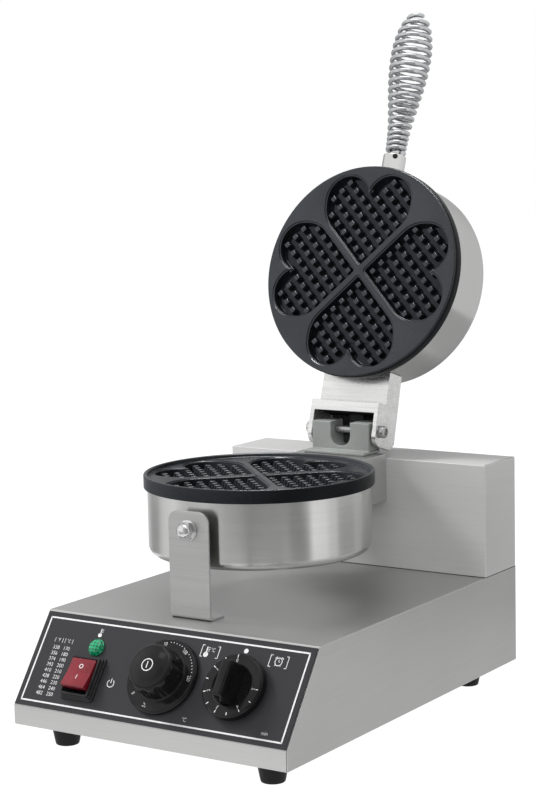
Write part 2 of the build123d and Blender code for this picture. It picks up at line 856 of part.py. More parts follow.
def make_handle():
    drum_body = upper_plate_frame * Cylinder(drum_radius + saddle_gap, 4 * drum_depth)
    ferrule = rod(ferrule_radius, -wall_cut, ferrule_length)
    ferrule = chamfer(ferrule.edges().sort_by(Axis.Z)[-1], ferrule_chamfer)
    ferrule -= rod(rod_radius + bolt_gap, -wall_cut - 1, ferrule_length + 1)
    keep("handle_ferrule", handle_place * ferrule - drum_body)
    core = rod(rod_radius, -rod_inside - rod_nut_height, ferrule_length + rod_above)
    keep("handle_rod", handle_place * core)
    corner = rod_nut_flats / math.sqrt(3)
    lean = corner * math.tan(math.radians(handle_tilt))
    seat = -drum_wall - (drum_inner - math.sqrt(drum_inner**2 - corner**2)) - lean
    nut = hexagon(rod_nut_flats, seat - rod_nut_height, seat)
    nut -= rod(rod_radius + bolt_gap, seat - rod_nut_height - 1, seat + 1)
    keep("handle_nut", handle_place * nut)

    path = coil_path()
    wire_corner = wire_flats / 2 / math.cos(math.pi / wire_sides)
    section = Plane(origin=path @ 0, z_dir=path % 0) * RegularPolygon(wire_corner, wire_sides)
    coil = sweep(section, path=path, transition=Transition.RIGHT)
    coil_start = ferrule_length + coil_seat_gap + wire_corner
    keep("handle_spring", handle_place * Pos(0, 0, coil_start) * coil)


# ---------------------------------------------------------------- controls on the slope
def upright_edges(solid):
    return solid.edges().filter_by(Axis.Z)


def make_panel():
    half = base_width / 2 - panel_side_margin
    overlay = block(-half, half, panel_bottom, panel_top, 0, panel_thickness)
    keep("control_panel", panel_frame * (overlay - panel_cutters()))

    rim = panel_thickness + lamp_rim
    crown = panel_thickness + lamp_crown
    stem = [
        (0, -lamp_length),
        (lamp_stem_radius, -lamp_length),
        (lamp_stem_radius, panel_thickness),
        (lamp_radius, panel_thickness),
    ]
    lamp = turned(stem + dome_points(lamp_radius, rim, crown))
    keep("indicator_lamp", panel_frame * Pos(lamp_x, lamp_up, 0) * lamp)


def make_switch():
    half_w = switch_body_width() / 2
    half_h = switch_body_height() / 2
    body = block(-half_w, half_w, -half_h, half_h, -switch_depth, switch_collar_top)
    body = fillet(upright_edges(body), switch_corner)
    flange_x = switch_flange_width / 2
    flange_y = switch_flange_height / 2
    flange_top = panel_thickness + switch_flange_thickness
    flange = block(-flange_x, flange_x, -flange_y, flange_y, panel_thickness, flange_top)
    body += fillet(upright_edges(flange), switch_corner)
    step_x = half_w + switch_step
    step_y = half_h + switch_step
    step = block(-step_x, step_x, -step_y, step_y, panel_thickness, switch_step_top)
    body += fillet(upright_edges(step), switch_corner)
    cavity_x = rocker_width / 2 + rocker_side_gap
    cavity_y = switch_opening_half()
    body -= block(-cavity_x, cavity_x, -cavity_y, cavity_y, -switch_cavity_floor, switch_collar_top + 1)
    pocket_x = rocker_width / 2 + trunnion_length + bolt_gap
    pivot = Pos(0, 0, rocker_pivot_height)
    body -= pivot * along_hinge(trunnion_radius + running_gap, -pocket_x, pocket_x)
    switch_place = panel_frame * Pos(switch_x, switch_up, 0)
    keep("rocker_housing", switch_place * body)

    a = rocker_half_length
    b = rocker_bottom_half
    key = side_profile(
        [
            (-a, rocker_rise),
            (a, rocker_rise),
            (a, rocker_waist),
            (b, -rocker_bottom_drop),
            (-b, -rocker_bottom_drop),
            (-a, rocker_waist),
        ],
        rocker_width / 2,
    )
    key += along_hinge(trunnion_radius, -rocker_width / 2 - trunnion_length, rocker_width / 2 + trunnion_length)
    keep("power_rocker", switch_place * pivot * Rot(-rocker_tilt, 0, 0) * key)


def spindle_place(x):
    return panel_frame * Pos(x, knob_up, 0)


def make_spindle(name, body_name, x, width, height, depth):
    """A regulator behind the sheet, its bush through the panel and its spindle up into the knob."""
    low = -sheet - depth
    body = block(-width / 2, width / 2, -height / 2, height / 2, low, -sheet)
    body += rod(bush_radius, -sheet, panel_thickness + bush_rise)
    bore_end = -sheet - depth / 2
    body -= rod(spindle_radius + running_gap, bore_end, panel_thickness + bush_rise + 1)
    keep(body_name, spindle_place(x) * body)
    keep(name, spindle_place(x) * rod(spindle_radius, bore_end + bolt_gap, knob_bore_end() - bolt_gap))


def knob_bottom():
    return panel_thickness + knob_gap


def knob_bore_end():
    return panel_thickness + bush_rise + bush_cavity + spindle_in_knob


def knob_bore():
    """The hollow under a knob: room for the bush, and the bore that sits on the spindle."""
    room = panel_thickness + bush_rise + bush_cavity
    bore = rod(bush_radius + bush_cavity, 0, room)
    return bore + rod(spindle_radius + running_gap, room, knob_bore_end())


def make_knobs():
    skirt = thermostat_skirt_radius
    grip = thermostat_grip_radius
    base = thermostat_grip_base
    shoulder = thermostat_grip_shoulder
    top = thermostat_grip_top
    dial = [(0, knob_bottom()), (skirt, knob_bottom()), (skirt, base), (grip, base)]
    knob = turned(dial + dome_points(grip, shoulder, top)) - knob_bore()
    flute_x = grip + thermostat_flute_radius - thermostat_flute_depth
    flute = Pos(flute_x, 0, 0) * rod(thermostat_flute_radius, base, thermostat_flute_top)
    knob -= [Rot(0, 0, 360 / thermostat_flutes * (i + 0.5)) * flute for i in range(thermostat_flutes)]
    keep("temperature_knob", spindle_place(thermostat_x) * knob)

    face = timer_face
    dial = turned(
        [
            (0, knob_bottom()),
            (timer_radius, knob_bottom()),
            (timer_radius, face),
            (timer_dish_radius, face),
            (timer_dish_radius, timer_dish_floor),
            (0, timer_dish_floor),
        ]
    )
    half_rib = timer_rib_width / 2
    rib = block(0, timer_dish_radius, -half_rib, half_rib, timer_dish_floor, timer_dish_floor + timer_rib_rise)
    dial += [Rot(0, 0, 360 / timer_ribs * i) * rib for i in range(timer_ribs)]
    bar = Rectangle(timer_bar_width, 2 * timer_dish_radius)
    dial += Pos(0, 0, timer_dish_floor) * extrude(bar, timer_bar_top - timer_dish_floor, taper=timer_bar_taper)
    keep("timer_knob", spindle_place(timer_x) * (dial - knob_bore()))


# ---------------------------------------------------------------- build and write
make_base()
make_rear_housing()
heart = heart_pocket()
make_lower_head(heart)
make_upper_head(heart)
make_supports()
make_strip_bolt()
make_hinge()
make_lid_bracket()
make_leads()
make_handle()
make_panel()
make_switch()
make_spindle(
    "thermostat_spindle",
    "thermostat_body",
    thermostat_x,
    thermostat_body_width,
    thermostat_body_height,
    thermostat_body_depth,
)
make_spindle("timer_spindle", "timer_body", timer_x, timer_body_width, timer_body_height, timer_body_depth)
make_knobs()

os.makedirs("parts", exist_ok=True)
for node, shape in parts.items():
    export_step(shape, f"parts/{node}.step")
print(len(parts), "nodes")
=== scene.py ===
import json
import math
from contextlib import contextmanager

import bmesh
import bpy
from bpy.props import FloatProperty, FloatVectorProperty, IntProperty, PointerProperty
from mathutils import Matrix, Vector

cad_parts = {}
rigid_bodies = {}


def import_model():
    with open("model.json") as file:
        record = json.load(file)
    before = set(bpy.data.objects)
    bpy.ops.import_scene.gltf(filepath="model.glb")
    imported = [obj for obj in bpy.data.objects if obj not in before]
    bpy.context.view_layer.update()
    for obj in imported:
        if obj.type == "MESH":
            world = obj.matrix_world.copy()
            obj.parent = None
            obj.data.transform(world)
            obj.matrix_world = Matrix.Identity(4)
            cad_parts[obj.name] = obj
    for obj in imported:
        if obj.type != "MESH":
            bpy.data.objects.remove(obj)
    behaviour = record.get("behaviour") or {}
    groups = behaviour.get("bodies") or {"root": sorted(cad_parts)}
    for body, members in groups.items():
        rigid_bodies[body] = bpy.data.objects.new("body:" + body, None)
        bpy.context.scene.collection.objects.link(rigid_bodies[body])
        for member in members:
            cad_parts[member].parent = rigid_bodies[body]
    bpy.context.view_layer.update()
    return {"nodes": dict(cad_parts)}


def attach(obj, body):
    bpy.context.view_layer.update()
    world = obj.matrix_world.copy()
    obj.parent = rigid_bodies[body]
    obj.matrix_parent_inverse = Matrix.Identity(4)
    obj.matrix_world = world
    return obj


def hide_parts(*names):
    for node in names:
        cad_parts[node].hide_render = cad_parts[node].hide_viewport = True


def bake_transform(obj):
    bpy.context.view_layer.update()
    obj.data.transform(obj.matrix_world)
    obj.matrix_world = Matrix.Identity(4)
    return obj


bl_info = {
    "name": "Waffle Maker Dresser",
    "version": (1, 0, 0),
    "blender": (4, 5, 0),
    "location": "View3D > Sidebar > Waffle Maker",
    "description": "Dresses a countertop waffle maker with steel, cast plates, controls and a coil handle",
    "category": "Object",
}

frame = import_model()
MM = 0.001

# -------- places and shared sizes, in millimetres
HEAD_X = -6.0
HEAD_Y = -11.4
RIM_Z = 199.3
HINGE = Vector((HEAD_X, 123.8, 214.5))
TILT = math.radians(73.4)
SLOPE = math.atan2(64.9, 47.1)
PLATE_REACH = 135.2
PLATE_DROP = 14.9
PLATE_RADIUS = 92.2
PLATE_RING = 10.7
SPIGOT_RADIUS = 87.9
DRUM_RADIUS = 89.3
DRUM_DEPTH = 53.0
FRONT_Y = -180.0
REAR_Y = 180.0


def set_down(origin, normal, across=(1, 0, 0)):
    """A place whose Z is the normal and whose X is the across direction."""
    z = Vector(normal).normalized()
    x = Vector(across).normalized()
    matrix = Matrix((x, z.cross(x), z)).transposed().to_4x4()
    matrix.translation = Vector(origin)
    return matrix


def shifted(place, x, y, z):
    return place @ Matrix.Translation((x, y, z))


def turned_round(degrees, axis="Z"):
    return Matrix.Rotation(math.radians(degrees), 4, axis)


PANEL_NORMAL = (0, -math.sin(SLOPE), math.cos(SLOPE))
WORLD = Matrix.Identity(4)
LID = set_down(HINGE, (0, -math.sin(TILT), math.cos(TILT)))
LOWER_PLATE = set_down((HEAD_X, HEAD_Y, RIM_Z), (0, 0, 1))
UPPER_PLATE = shifted(LID, 0, PLATE_REACH, PLATE_DROP)
STRIP_BOLT = set_down((HEAD_X, HEAD_Y - DRUM_RADIUS, 168.0), (0, -1, 0))
HANDLE = shifted(LID, 0, PLATE_REACH + DRUM_RADIUS, -18.6) @ turned_round(-93.2, "X")
PANEL = set_down((0, FRONT_Y, 33.9), PANEL_NORMAL)
DIAL = shifted(PANEL, 2.5, 39.0, 0)
TIMER = shifted(PANEL, 68.0, 39.0, 0)
SWITCH = shifted(PANEL, -68.4, 28.4, 0)
LAMP = shifted(PANEL, -66.5, 54.0, 0)
GLAND = set_down((80.0, 179.0, 122.8), (0, 1, 0))


# -------- what a user would change
def colour_setting(name, text, *value):
    return FloatVectorProperty(name=name, description=text, subtype="COLOR", default=value)


def length_setting(name, text, value):
    return FloatProperty(name=name, description=text, default=value, unit="LENGTH", subtype="DISTANCE")


def power_setting(name, text, value):
    return FloatProperty(name=name, description=text, default=value, unit="POWER")


def count_setting(name, text, value):
    return IntProperty(name=name, description=text, default=value, min=1)


class StudioSizes(bpy.types.PropertyGroup):
    key_power: power_setting("Key light", "Power of the soft light at the left", 122.0)
    fill_power: power_setting("Fill light", "Power of the soft light at the right", 38.0)
    mould_power: power_setting("Mould light", "Power of the light on the plates alone", 108.0)
    glint_power: power_setting("Glint light", "Power of the light that only the coating mirrors", 50.0)
    top_power: power_setting("Top light", "Power of the soft light overhead", 10.0)
    room_level: FloatProperty(
        name="Room light", description="Brightness of the room on dull surfaces", default=0.16, min=0
    )
    lens: FloatProperty(name="Lens", description="Focal length of the camera in millimetres", default=92.25)


class SteelColours(bpy.types.PropertyGroup):
    sheet: colour_setting("Sheet steel", "Colour of the folded sheets", 0.49, 0.49, 0.486)
    # Lighter than the sheet steel: painted light on the rear housing.
    rear: colour_setting("Rear housing", "Colour of the rear housing's sheet", 0.57, 0.57, 0.566)
    drum: colour_setting("Drum steel", "Colour of the two drums", 0.52, 0.52, 0.515)
    plated: colour_setting("Plated steel", "Colour of nuts, bolts and rod", 0.62, 0.62, 0.62)
    casting: colour_setting("Hinge casting", "Colour of the dull cast block", 0.265, 0.277, 0.268)
    bracket: colour_setting("Lid bracket", "Colour of the bright cast bracket", 0.66, 0.66, 0.655)
    edge_round: length_setting("Edge rounding", "Radius of the folded sheets' edges", 0.0007)


class PlateSizes(bpy.types.PropertyGroup):
    coating: colour_setting("Coating", "Colour of the non-stick coating", 0.0225, 0.0247, 0.0285)
    stud_base: length_setting("Stud base", "Width of a stud at its foot", 0.0062)
    stud_top: length_setting("Stud top", "Width of a stud at its top", 0.0042)
    stud_height: length_setting("Stud height", "Height of a stud", 0.0052)
    mould_depth: length_setting("Mould depth", "Depth of a heart below the plate's face", 0.0072)
    ledge_width: length_setting("Ledge width", "Width of the shallow step round each heart", 0.0013)
    ledge_depth: length_setting("Ledge depth", "Depth of the shallow step round each heart", 0.0007)


class CoilSizes(bpy.types.PropertyGroup):
    wire: length_setting("Wire radius", "Radius of the handle's wire", 0.0020)
    tight_turns: count_setting("Tight turns", "Turns that lie close at the neck", 4)
    open_turns: count_setting("Open turns", "Turns of the swollen part", 16)
    belly: length_setting("Belly radius", "Largest radius of the coil's middle line", 0.0161)
    neck: length_setting("Neck radius", "Radius of the coil's middle line at its neck", 0.0072)


class ControlColours(bpy.types.PropertyGroup):
    panel: colour_setting("Panel", "Colour of the control overlay", 0.0175, 0.0172, 0.0194)
    ink: colour_setting("Ink", "Colour of lines, numbers and marks", 0.55, 0.55, 0.55)
    knob: colour_setting("Knobs", "Colour of the knobs", 0.007, 0.007, 0.0076)
    rocker: colour_setting("Rocker", "Colour of the rocker key", 0.115, 0.003, 0.009)
    lamp: colour_setting("Lamp", "Colour of the indicator's lens", 0.0, 0.15, 0.065)


GROUPS = {
    "waffle_studio": StudioSizes,
    "waffle_steel": SteelColours,
    "waffle_plates": PlateSizes,
    "waffle_coil": CoilSizes,
    "waffle_controls": ControlColours,
}


# -------- node trees
class Graph:
    """A node tree while it is wired up, empty at first."""

    def __init__(self, tree):
        self.tree = tree
        tree.nodes.clear()

    def add(self, kind, values=None, **settings):
        node = self.tree.nodes.new(kind)
        for name, value in settings.items():
            setattr(node, name, value)
        for key, value in (values or {}).items():
            self.feed(node.inputs[key], value)
        return node

    def feed(self, socket, value):
        if isinstance(value, bpy.types.NodeSocket):
            self.tree.links.new(value, socket)
        else:
            socket.default_value = value

    def math(self, operation, *values):
        return self.add("ShaderNodeMath", dict(enumerate(values)), operation=operation).outputs[0]

    def times(self, a, b):
        return self.math("MULTIPLY", a, b)

    def mixed(self, first, second, share):
        """The first value times its share, plus the second times the rest."""
        return self.math("MULTIPLY_ADD", first, share, self.times(second, 1 - share))

    def vector(self, **axes):
        return self.add("ShaderNodeCombineXYZ", axes).outputs[0]

    def glow(self, level):
        return self.add("ShaderNodeEmission", {"Color": (1, 1, 1, 1), "Strength": level})

    def end(self, kind, shader):
        self.feed(self.add(kind).inputs["Surface"], shader.outputs[0])


def new_material(name):
    material = bpy.data.materials.new(name)
    material.use_nodes = True
    return material


FINISHES = {}


class Finish(Graph):
    """A surface finish whose patterns read the piece's own coordinates."""

    def __init__(self, name, colour, roughness, metallic=0.0, specular=0.5, **more):
        material = new_material(name)
        super().__init__(material.node_tree)
        material.diffuse_color = (*colour, 1)
        FINISHES[name] = material
        self.colour = tuple(colour)
        self.height = None
        self.surface = self.add("ShaderNodeBsdfPrincipled")
        self.end("ShaderNodeOutputMaterial", self.surface)
        sockets = {"Base Color": (*colour, 1), "Roughness": roughness, "Metallic": metallic}
        sockets["Specular IOR Level"] = specular
        for key, value in {**sockets, **more}.items():
            self.set(key.replace("_", " "), value)

    def set(self, key, value):
        self.feed(self.surface.inputs[key], value)

    def spot(self, scale, turn=(0, 0, 0), source="Object"):
        """The piece's own coordinates, turned and then stretched."""
        here = self.add("ShaderNodeTexCoord").outputs[source]
        turned = self.add("ShaderNodeMapping", {"Vector": here, "Rotation": turn}).outputs[0]
        stretch = scale if isinstance(scale, tuple) else (scale, scale, scale)
        return self.add("ShaderNodeMapping", {"Vector": turned, "Scale": stretch}).outputs[0]

    def grain(self, scale, detail=4, rough=0.55, turn=(0, 0, 0)):
        """Noise, as dense along X, Y and Z as its scale says."""
        values = {"Vector": self.spot(scale, turn), "Scale": 1.0, "Detail": detail, "Roughness": rough}
        return self.add("ShaderNodeTexNoise", values).outputs["Fac"]

    def checks(self, spot):
        return self.add("ShaderNodeTexChecker", {"Vector": spot, "Scale": 1.0}).outputs["Fac"]

    def spread(self, value, low, high):
        """A value between 0.3 and 0.7, stretched to a new range."""
        values = {"Value": value, 1: 0.3, 2: 0.7, 3: low, 4: high}
        return self.add("ShaderNodeMapRange", values, clamp=True).outputs[0]

    def tint(self, value, dark, light):
        """The colour times a factor that runs from dark to light with the value."""
        values = {"Vector": self.colour, "Scale": self.spread(value, dark, light)}
        self.set("Base Color", self.add("ShaderNodeVectorMath", values, operation="SCALE").outputs[0])

    def gloss(self, value, low, high):
        self.set("Roughness", self.spread(value, low, high))

    def bump(self, value, strength, depth):
        values = {"Height": value, "Strength": strength, "Distance": depth}
        if self.height is not None:
            values["Normal"] = self.height
        self.height = self.add("ShaderNodeBump", values).outputs[0]
        self.set("Normal", self.height)


def speckled(name, colour, roughness, noise, tint, gloss=None, bump=None, **more):
    """A finish that follows one noise, given by its scale, detail and roughness."""
    finish = Finish(name, colour, roughness, **more)
    speck = finish.grain(*noise)
    finish.tint(speck, *tint)
    if gloss:
        finish.gloss(speck, *gloss)
    if bump:
        finish.bump(speck, *bump)
    return finish


def brushed(name, colour, roughness, strokes, turn=(0, 0, 0), grain=0.16, uneven=0.07, metallic=0.9, **more):
    """Metal with fine parallel scratches. Strokes is how densely they lie along X, Y and Z."""
    finish = Finish(name, colour, roughness, metallic, **more)
    fine = finish.grain(strokes, 5, 0.7, turn)
    broad = finish.grain(tuple(0.16 * s for s in strokes), 3, turn=turn)
    patch = finish.grain(9, 2, turn=turn)
    finish.tint(finish.mixed(fine, broad, 0.6), 1 - uneven, 1 + uneven)
    finish.gloss(finish.mixed(patch, fine, 0.5), roughness - 0.5 * uneven, roughness + 0.7 * uneven)
    finish.bump(fine, grain, 0.00012)
    return finish


def folded_steel(name, colour, metallic, gloss):
    """Sheet steel whose grain runs level on the walls and lengthwise on what lies flat."""
    sheet = Finish(name, colour, gloss, metallic)
    upright = sheet.grain((14, 14, 2000), 5, 0.7)
    flat = sheet.grain((14, 2000, 14), 5, 0.7)
    facing = sheet.add("ShaderNodeSeparateXYZ", {"Vector": sheet.add("ShaderNodeTexCoord").outputs["Normal"]})
    lying = sheet.math("GREATER_THAN", sheet.math("ABSOLUTE", facing.outputs[2]), 0.7)
    grain = sheet.add("ShaderNodeMix", {0: lying, 2: upright, 3: flat}, data_type="FLOAT").outputs[0]
    cloud = sheet.grain(7, 3)
    sheet.tint(sheet.mixed(grain, cloud, 0.55), 0.9, 1.09)
    sheet.gloss(sheet.mixed(cloud, grain, 0.6), gloss, gloss + 0.11)
    sheet.bump(grain, 0.08, 0.0001)


def drum_steel(name, colour, turn=(0, 0, 0)):
    """Steel whose scratches run round a drum, so that its highlights stand upright."""
    along = {"Anisotropic": 0.95, "Anisotropic_Rotation": 0.25}
    look = {"grain": 0.03, "uneven": 0.045, "metallic": 1.0, **along}
    finish = brushed(name, colour, 0.21, (40, 40, 3000), turn, **look)
    finish.set("Tangent", finish.add("ShaderNodeTangent", direction_type="UV_MAP", uv_map="wrap").outputs[0])


def lamp_lens(colour):
    """Clear green plastic with a lattice behind it."""
    lens = Finish("lamp_lens", colour, 0.2, specular=0.4, Coat_Weight=0.3, Coat_Roughness=0.05)
    cells = lens.checks(lens.spot(520, (-SLOPE, 0, math.radians(45))))
    lens.tint(lens.mixed(cells, lens.grain(700, 2), 0.45), 0.55, 1.7)
    lens.bump(cells, 0.12, 0.0001)


def woven_sleeve():
    """Black braid, with as many threads as its UVs have squares."""
    sleeve = Finish("woven_sleeve", (0.020, 0.020, 0.021), 0.62, specular=0.3)
    weave = sleeve.checks(sleeve.spot((110, 60, 1), source="UV"))
    sleeve.tint(weave, 0.6, 1.6)
    sleeve.bump(weave, 0.5, 0.0003)


def hinge_casting(colour):
    """Dull cast metal, grainy and a little cloudy."""
    casting = Finish("dull_casting", colour, 0.52, metallic=0.45)
    skin = casting.grain(260, 6, 0.7)
    wash = casting.grain(30, 3)
    casting.tint(casting.mixed(wash, skin, 0.7), 0.85, 1.15)
    casting.gloss(wash, 0.45, 0.60)
    casting.bump(skin, 0.25, 0.0003)


def plate_coating(colour):
    """Black non-stick coating, and a darker copy of it that reflects less, for painted shade in the moulds
    and on the rims.
    """
    grit = (900, 3, 0.6)
    relief = (0.22, 0.00015)
    coating = Finish("non_stick_coating", colour, 0.3, specular=0.22)
    fine = coating.grain(*grit)
    wash = coating.grain(22, 3)
    coating.tint(coating.mixed(fine, wash, 0.35), 0.85, 1.18)
    coating.gloss(coating.mixed(fine, wash, 0.4), 0.22, 0.34)
    coating.bump(fine, *relief)
    # Painted shade: the coating at 0.68 of its colour and with little reflection.
    dark = tuple(0.68 * level for level in colour)
    speckled("pocket_coating", dark, 0.3, grit, (0.75, 1.25), (0.26, 0.36), relief, specular=0.05)


def panel_overlay(colour):
    """A printed sheet with a fine fleck."""
    panel = Finish("panel_overlay", colour, 0.42, specular=0.3)
    fleck = panel.grain(1500, 2)
    wash = panel.grain(14, 2)
    panel.tint(panel.mixed(fleck, wash, 0.5), 0.88, 1.13)
    panel.gloss(wash, 0.40, 0.50)
    panel.bump(fleck, 0.18, 0.0001)


def metal_finishes(steel):
    back = (-TILT, 0, 0)
    folded_steel("sheet_steel", steel.sheet, 0.92, 0.32)
    # Painted light: the rear housing's copy of the sheet steel is lighter and less metallic, so it looks
    # brighter; its rougher gloss is its own finish.
    folded_steel("rear_steel", steel.rear, 0.6, 0.46)
    brushed("strip_steel", steel.sheet, 0.36, (6, 6, 900), grain=0.14, uneven=0.1)
    drum_steel("drum_steel", steel.drum)
    drum_steel("lid_drum_steel", steel.drum, back)
    brushed("brushed_casting", steel.bracket, 0.24, (22, 620, 620), back, grain=0.3, uneven=0.24)
    brushed("turned_ferrule", steel.bracket, 0.14, (10, 10, 700), back, grain=0.12, metallic=1.0)
    hinge_casting(steel.casting)
    dull, relief = (0.08, 0.20), (0.05, 0.0002)
    speckled("bright_plating", steel.plated, 0.12, (150,), (0.93, 1.04), dull, relief, metallic=1.0)
    brushed("turned_pin", (0.38, 0.38, 0.38), 0.26, (900, 60, 60), grain=0.1)
    drawn = ((220, 220, 60),)
    speckled("drawn_wire", (0.52, 0.53, 0.54), 0.10, drawn, (0.90, 1.05), (0.08, 0.18), metallic=1.0)


def control_finishes(controls):
    dark, light = 0.8, 1.25
    knob = speckled("knob_plastic", controls.knob, 0.12, (70,), (dark, light), (0.09, 0.16), specular=0.18)
    knob.bump(knob.grain(1200, 2), 0.05, 0.0001)
    black, relief = (0.012, 0.012, 0.013), (0.08, 0.0002)
    speckled("switch_plastic", black, 0.34, (400,), (dark, light), (0.28, 0.42), relief, specular=0.3)
    panel_overlay(controls.panel)
    speckled("printed_ink", controls.ink, 0.5, (500, 3), (0.82, 1.02), specular=0.4)
    coat = {"specular": 0.4, "Coat_Weight": 0.2, "Coat_Roughness": 0.1}
    speckled("rocker_plastic", controls.rocker, 0.3, (90, 3), (0.80, 1.2), (0.24, 0.36), **coat)
    lamp_lens(controls.lamp)


def other_finishes():
    black = (0.009, 0.009, 0.009)
    rubber = speckled("foot_rubber", black, 0.55, (120, 5), (0.7, 1.5), (0.5, 0.7), specular=0.2)
    rubber.bump(rubber.grain(900, 2), 0.15, 0.0002)
    woven_sleeve()
    speckled("regulator_body", (0.62, 0.58, 0.48), 0.5, (60,), (0.9, 1.08))
    fibre = ((300, 300, 60), 6, 0.7)
    speckled("mineral_pad", (0.66, 0.63, 0.54), 0.9, fibre, (0.8, 1.1), bump=(0.6, 0.0008), specular=0.2)
    # Painted shade: a near-black finish for the seams, the deep part of the bracket's mouth and the ferrule's
    # hole.
    speckled("seam_shadow", (0.018, 0.018, 0.018), 0.7, (200, 2), (0.7, 1.3), specular=0.2)


# -------- meshes and pieces
@contextmanager
def edited(mesh):
    """The mesh as a bmesh, written back at the end."""
    work = bmesh.new()
    work.from_mesh(mesh)
    yield work
    work.to_mesh(mesh)
    work.free()


def close_mesh(mesh, angle=35):
    """Merged doubles, outward faces, and smooth shading up to an angle."""
    with edited(mesh) as work:
        bmesh.ops.remove_doubles(work, verts=work.verts, dist=0.000002)
        bmesh.ops.recalc_face_normals(work, faces=work.faces)
    shade(mesh, angle)


def shade(mesh, angle=35):
    mesh.shade_smooth()
    mesh.set_sharp_from_angle(angle=math.radians(angle))


def add_mesh(mesh, more):
    """Adds one mesh to another."""
    with edited(mesh) as work:
        work.from_mesh(more)
    bpy.data.meshes.remove(more)


def put(name, data):
    """A new object in the scene."""
    obj = bpy.data.objects.new(name, data)
    bpy.context.scene.collection.objects.link(obj)
    return obj


def evaluated(obj):
    """The plain mesh that an object comes to. The object and its own data are removed."""
    bpy.context.view_layer.update()
    mesh = bpy.data.meshes.new_from_object(obj.evaluated_get(bpy.context.evaluated_depsgraph_get()))
    name, source = obj.name, obj.data
    bpy.data.objects.remove(obj)
    bpy.data.batch_remove([source])
    mesh.name = name
    return mesh


def settle(obj, body, finish=None, node=None):
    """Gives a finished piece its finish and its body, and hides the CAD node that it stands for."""
    if finish:
        obj.data.materials.clear()
        obj.data.materials.append(FINISHES[finish])
    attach(obj, body)
    if node:
        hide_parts(node)
    return obj


def piece(name, mesh, place=WORLD):
    """An object for a mesh drawn in millimetres at a place."""
    mesh.transform(Matrix.Scale(MM, 4) @ place)
    return put(name, mesh)


def joined(name, shapes):
    """One mesh from several (vertices, faces) shapes."""
    verts, faces = [], []
    for more_verts, more_faces in shapes:
        base = len(verts)
        verts.extend(more_verts)
        faces.extend([tuple(base + i for i in face) for face in more_faces])
    mesh = bpy.data.meshes.new(name)
    mesh.from_pydata([tuple(v) for v in verts], [], faces)
    return mesh


def solid(name, shapes, place, body, finish, node, angle=35):
    """A settled piece from shapes drawn in millimetres at a place."""
    mesh = joined(name, shapes)
    close_mesh(mesh, angle)
    return settle(piece(name, mesh, place), body, finish, node)


def softened(node, name, body, finish, width):
    """A copy of a CAD node with its sharp edges rounded."""
    mesh = frame["nodes"][node].data.copy()
    mesh.name = name
    with edited(mesh) as work:
        bmesh.ops.remove_doubles(work, verts=work.verts, dist=0.000004)
        flat = math.radians(0.6)
        bmesh.ops.dissolve_limit(work, angle_limit=flat, verts=work.verts, edges=work.edges)
    mesh.materials.clear()
    mesh.shade_smooth()
    obj = put(name, mesh)
    bevel = obj.modifiers.new("rounded edges", "BEVEL")
    bevel.width = width * MM
    bevel.segments = 2
    bevel.limit_method = "ANGLE"
    bevel.angle_limit = math.radians(30)
    bevel.use_clamp_overlap = False
    bevel.miter_outer = "MITER_ARC"
    obj.modifiers.new("flat faces", "WEIGHTED_NORMAL").keep_sharp = True
    return settle(put(name, evaluated(obj)), body, finish, node)


# -------- shapes: lists of vertices and of faces
def moved(shape, matrix):
    return [matrix @ Vector(v) for v in shape[0]], shape[1]


def polar(radius, degrees):
    angle = math.radians(degrees)
    return radius * math.cos(angle), radius * math.sin(angle)


def arc(x, y, wide, high, first, last, steps):
    """Points along part of an ellipse, at even angles in degrees."""
    angles = [first + (last - first) * i / steps for i in range(steps + 1)]
    return [(x + polar(wide, a)[0], y + polar(high, a)[1]) for a in angles]


def rounded(corners, steps=4):
    """An outline of (x, y, radius) corners with each corner rounded. Open at its ends."""
    points = [Vector(corners[0][:2])]
    for before, here, after in zip(corners, corners[1:], corners[2:]):
        p = Vector(here[:2])
        a = (Vector(before[:2]) - p).normalized()
        b = (Vector(after[:2]) - p).normalized()
        radius = here[2] if len(here) > 2 else 0
        bend = a.angle(b, math.pi)
        if radius <= 0 or bend > math.radians(177):
            points.append(p)
            continue
        centre = p + (a + b).normalized() * (radius / math.sin(bend / 2))
        first = p + a * (radius / math.tan(bend / 2)) - centre
        last = p + b * (radius / math.tan(bend / 2)) - centre
        sweep = first.angle_signed(last)
        points += [centre + Matrix.Rotation(-sweep * i / steps, 2) @ first for i in range(steps + 1)]
    points.append(Vector(corners[-1][:2]))
    return points


def lathe(profile, segments=96, closed=False):
    """A turned shape round Z from (radius, height) points."""
    verts, rows = [], []
    for point in profile:
        r, z = point[0], point[1]
        if r < 1e-6:
            rows.append([len(verts)] * segments)
            verts.append(Vector((0, 0, z)))
            continue
        rows.append(list(range(len(verts), len(verts) + segments)))
        verts += [Vector((*polar(r, 360 * i / segments), z)) for i in range(segments)]
    pairs = list(zip(rows, rows[1:]))
    if closed:
        pairs.append((rows[-1], rows[0]))
    faces = []
    for low, high in pairs:
        for i in range(segments):
            j = (i + 1) % segments
            ring = [low[i], low[j], high[j], high[i]]
            face = [v for k, v in enumerate(ring) if v != ring[k - 1]]
            if len(face) > 2:
                faces.append(tuple(face))
    return verts, faces


def lofted(rings, capped=False):
    """Walls between outlines that have the same number of points, with flat ends if capped."""
    n = len(rings[0])
    verts = [v for ring in rings for v in ring]
    faces = []
    for k in range(len(rings) - 1):
        for i in range(n):
            j = (i + 1) % n
            faces.append((k * n + i, k * n + j, (k + 1) * n + j, (k + 1) * n + i))
    if capped:
        faces.append(tuple(range(n))[::-1])
        faces.append(tuple(range(len(verts) - n, len(verts))))
    return verts, faces


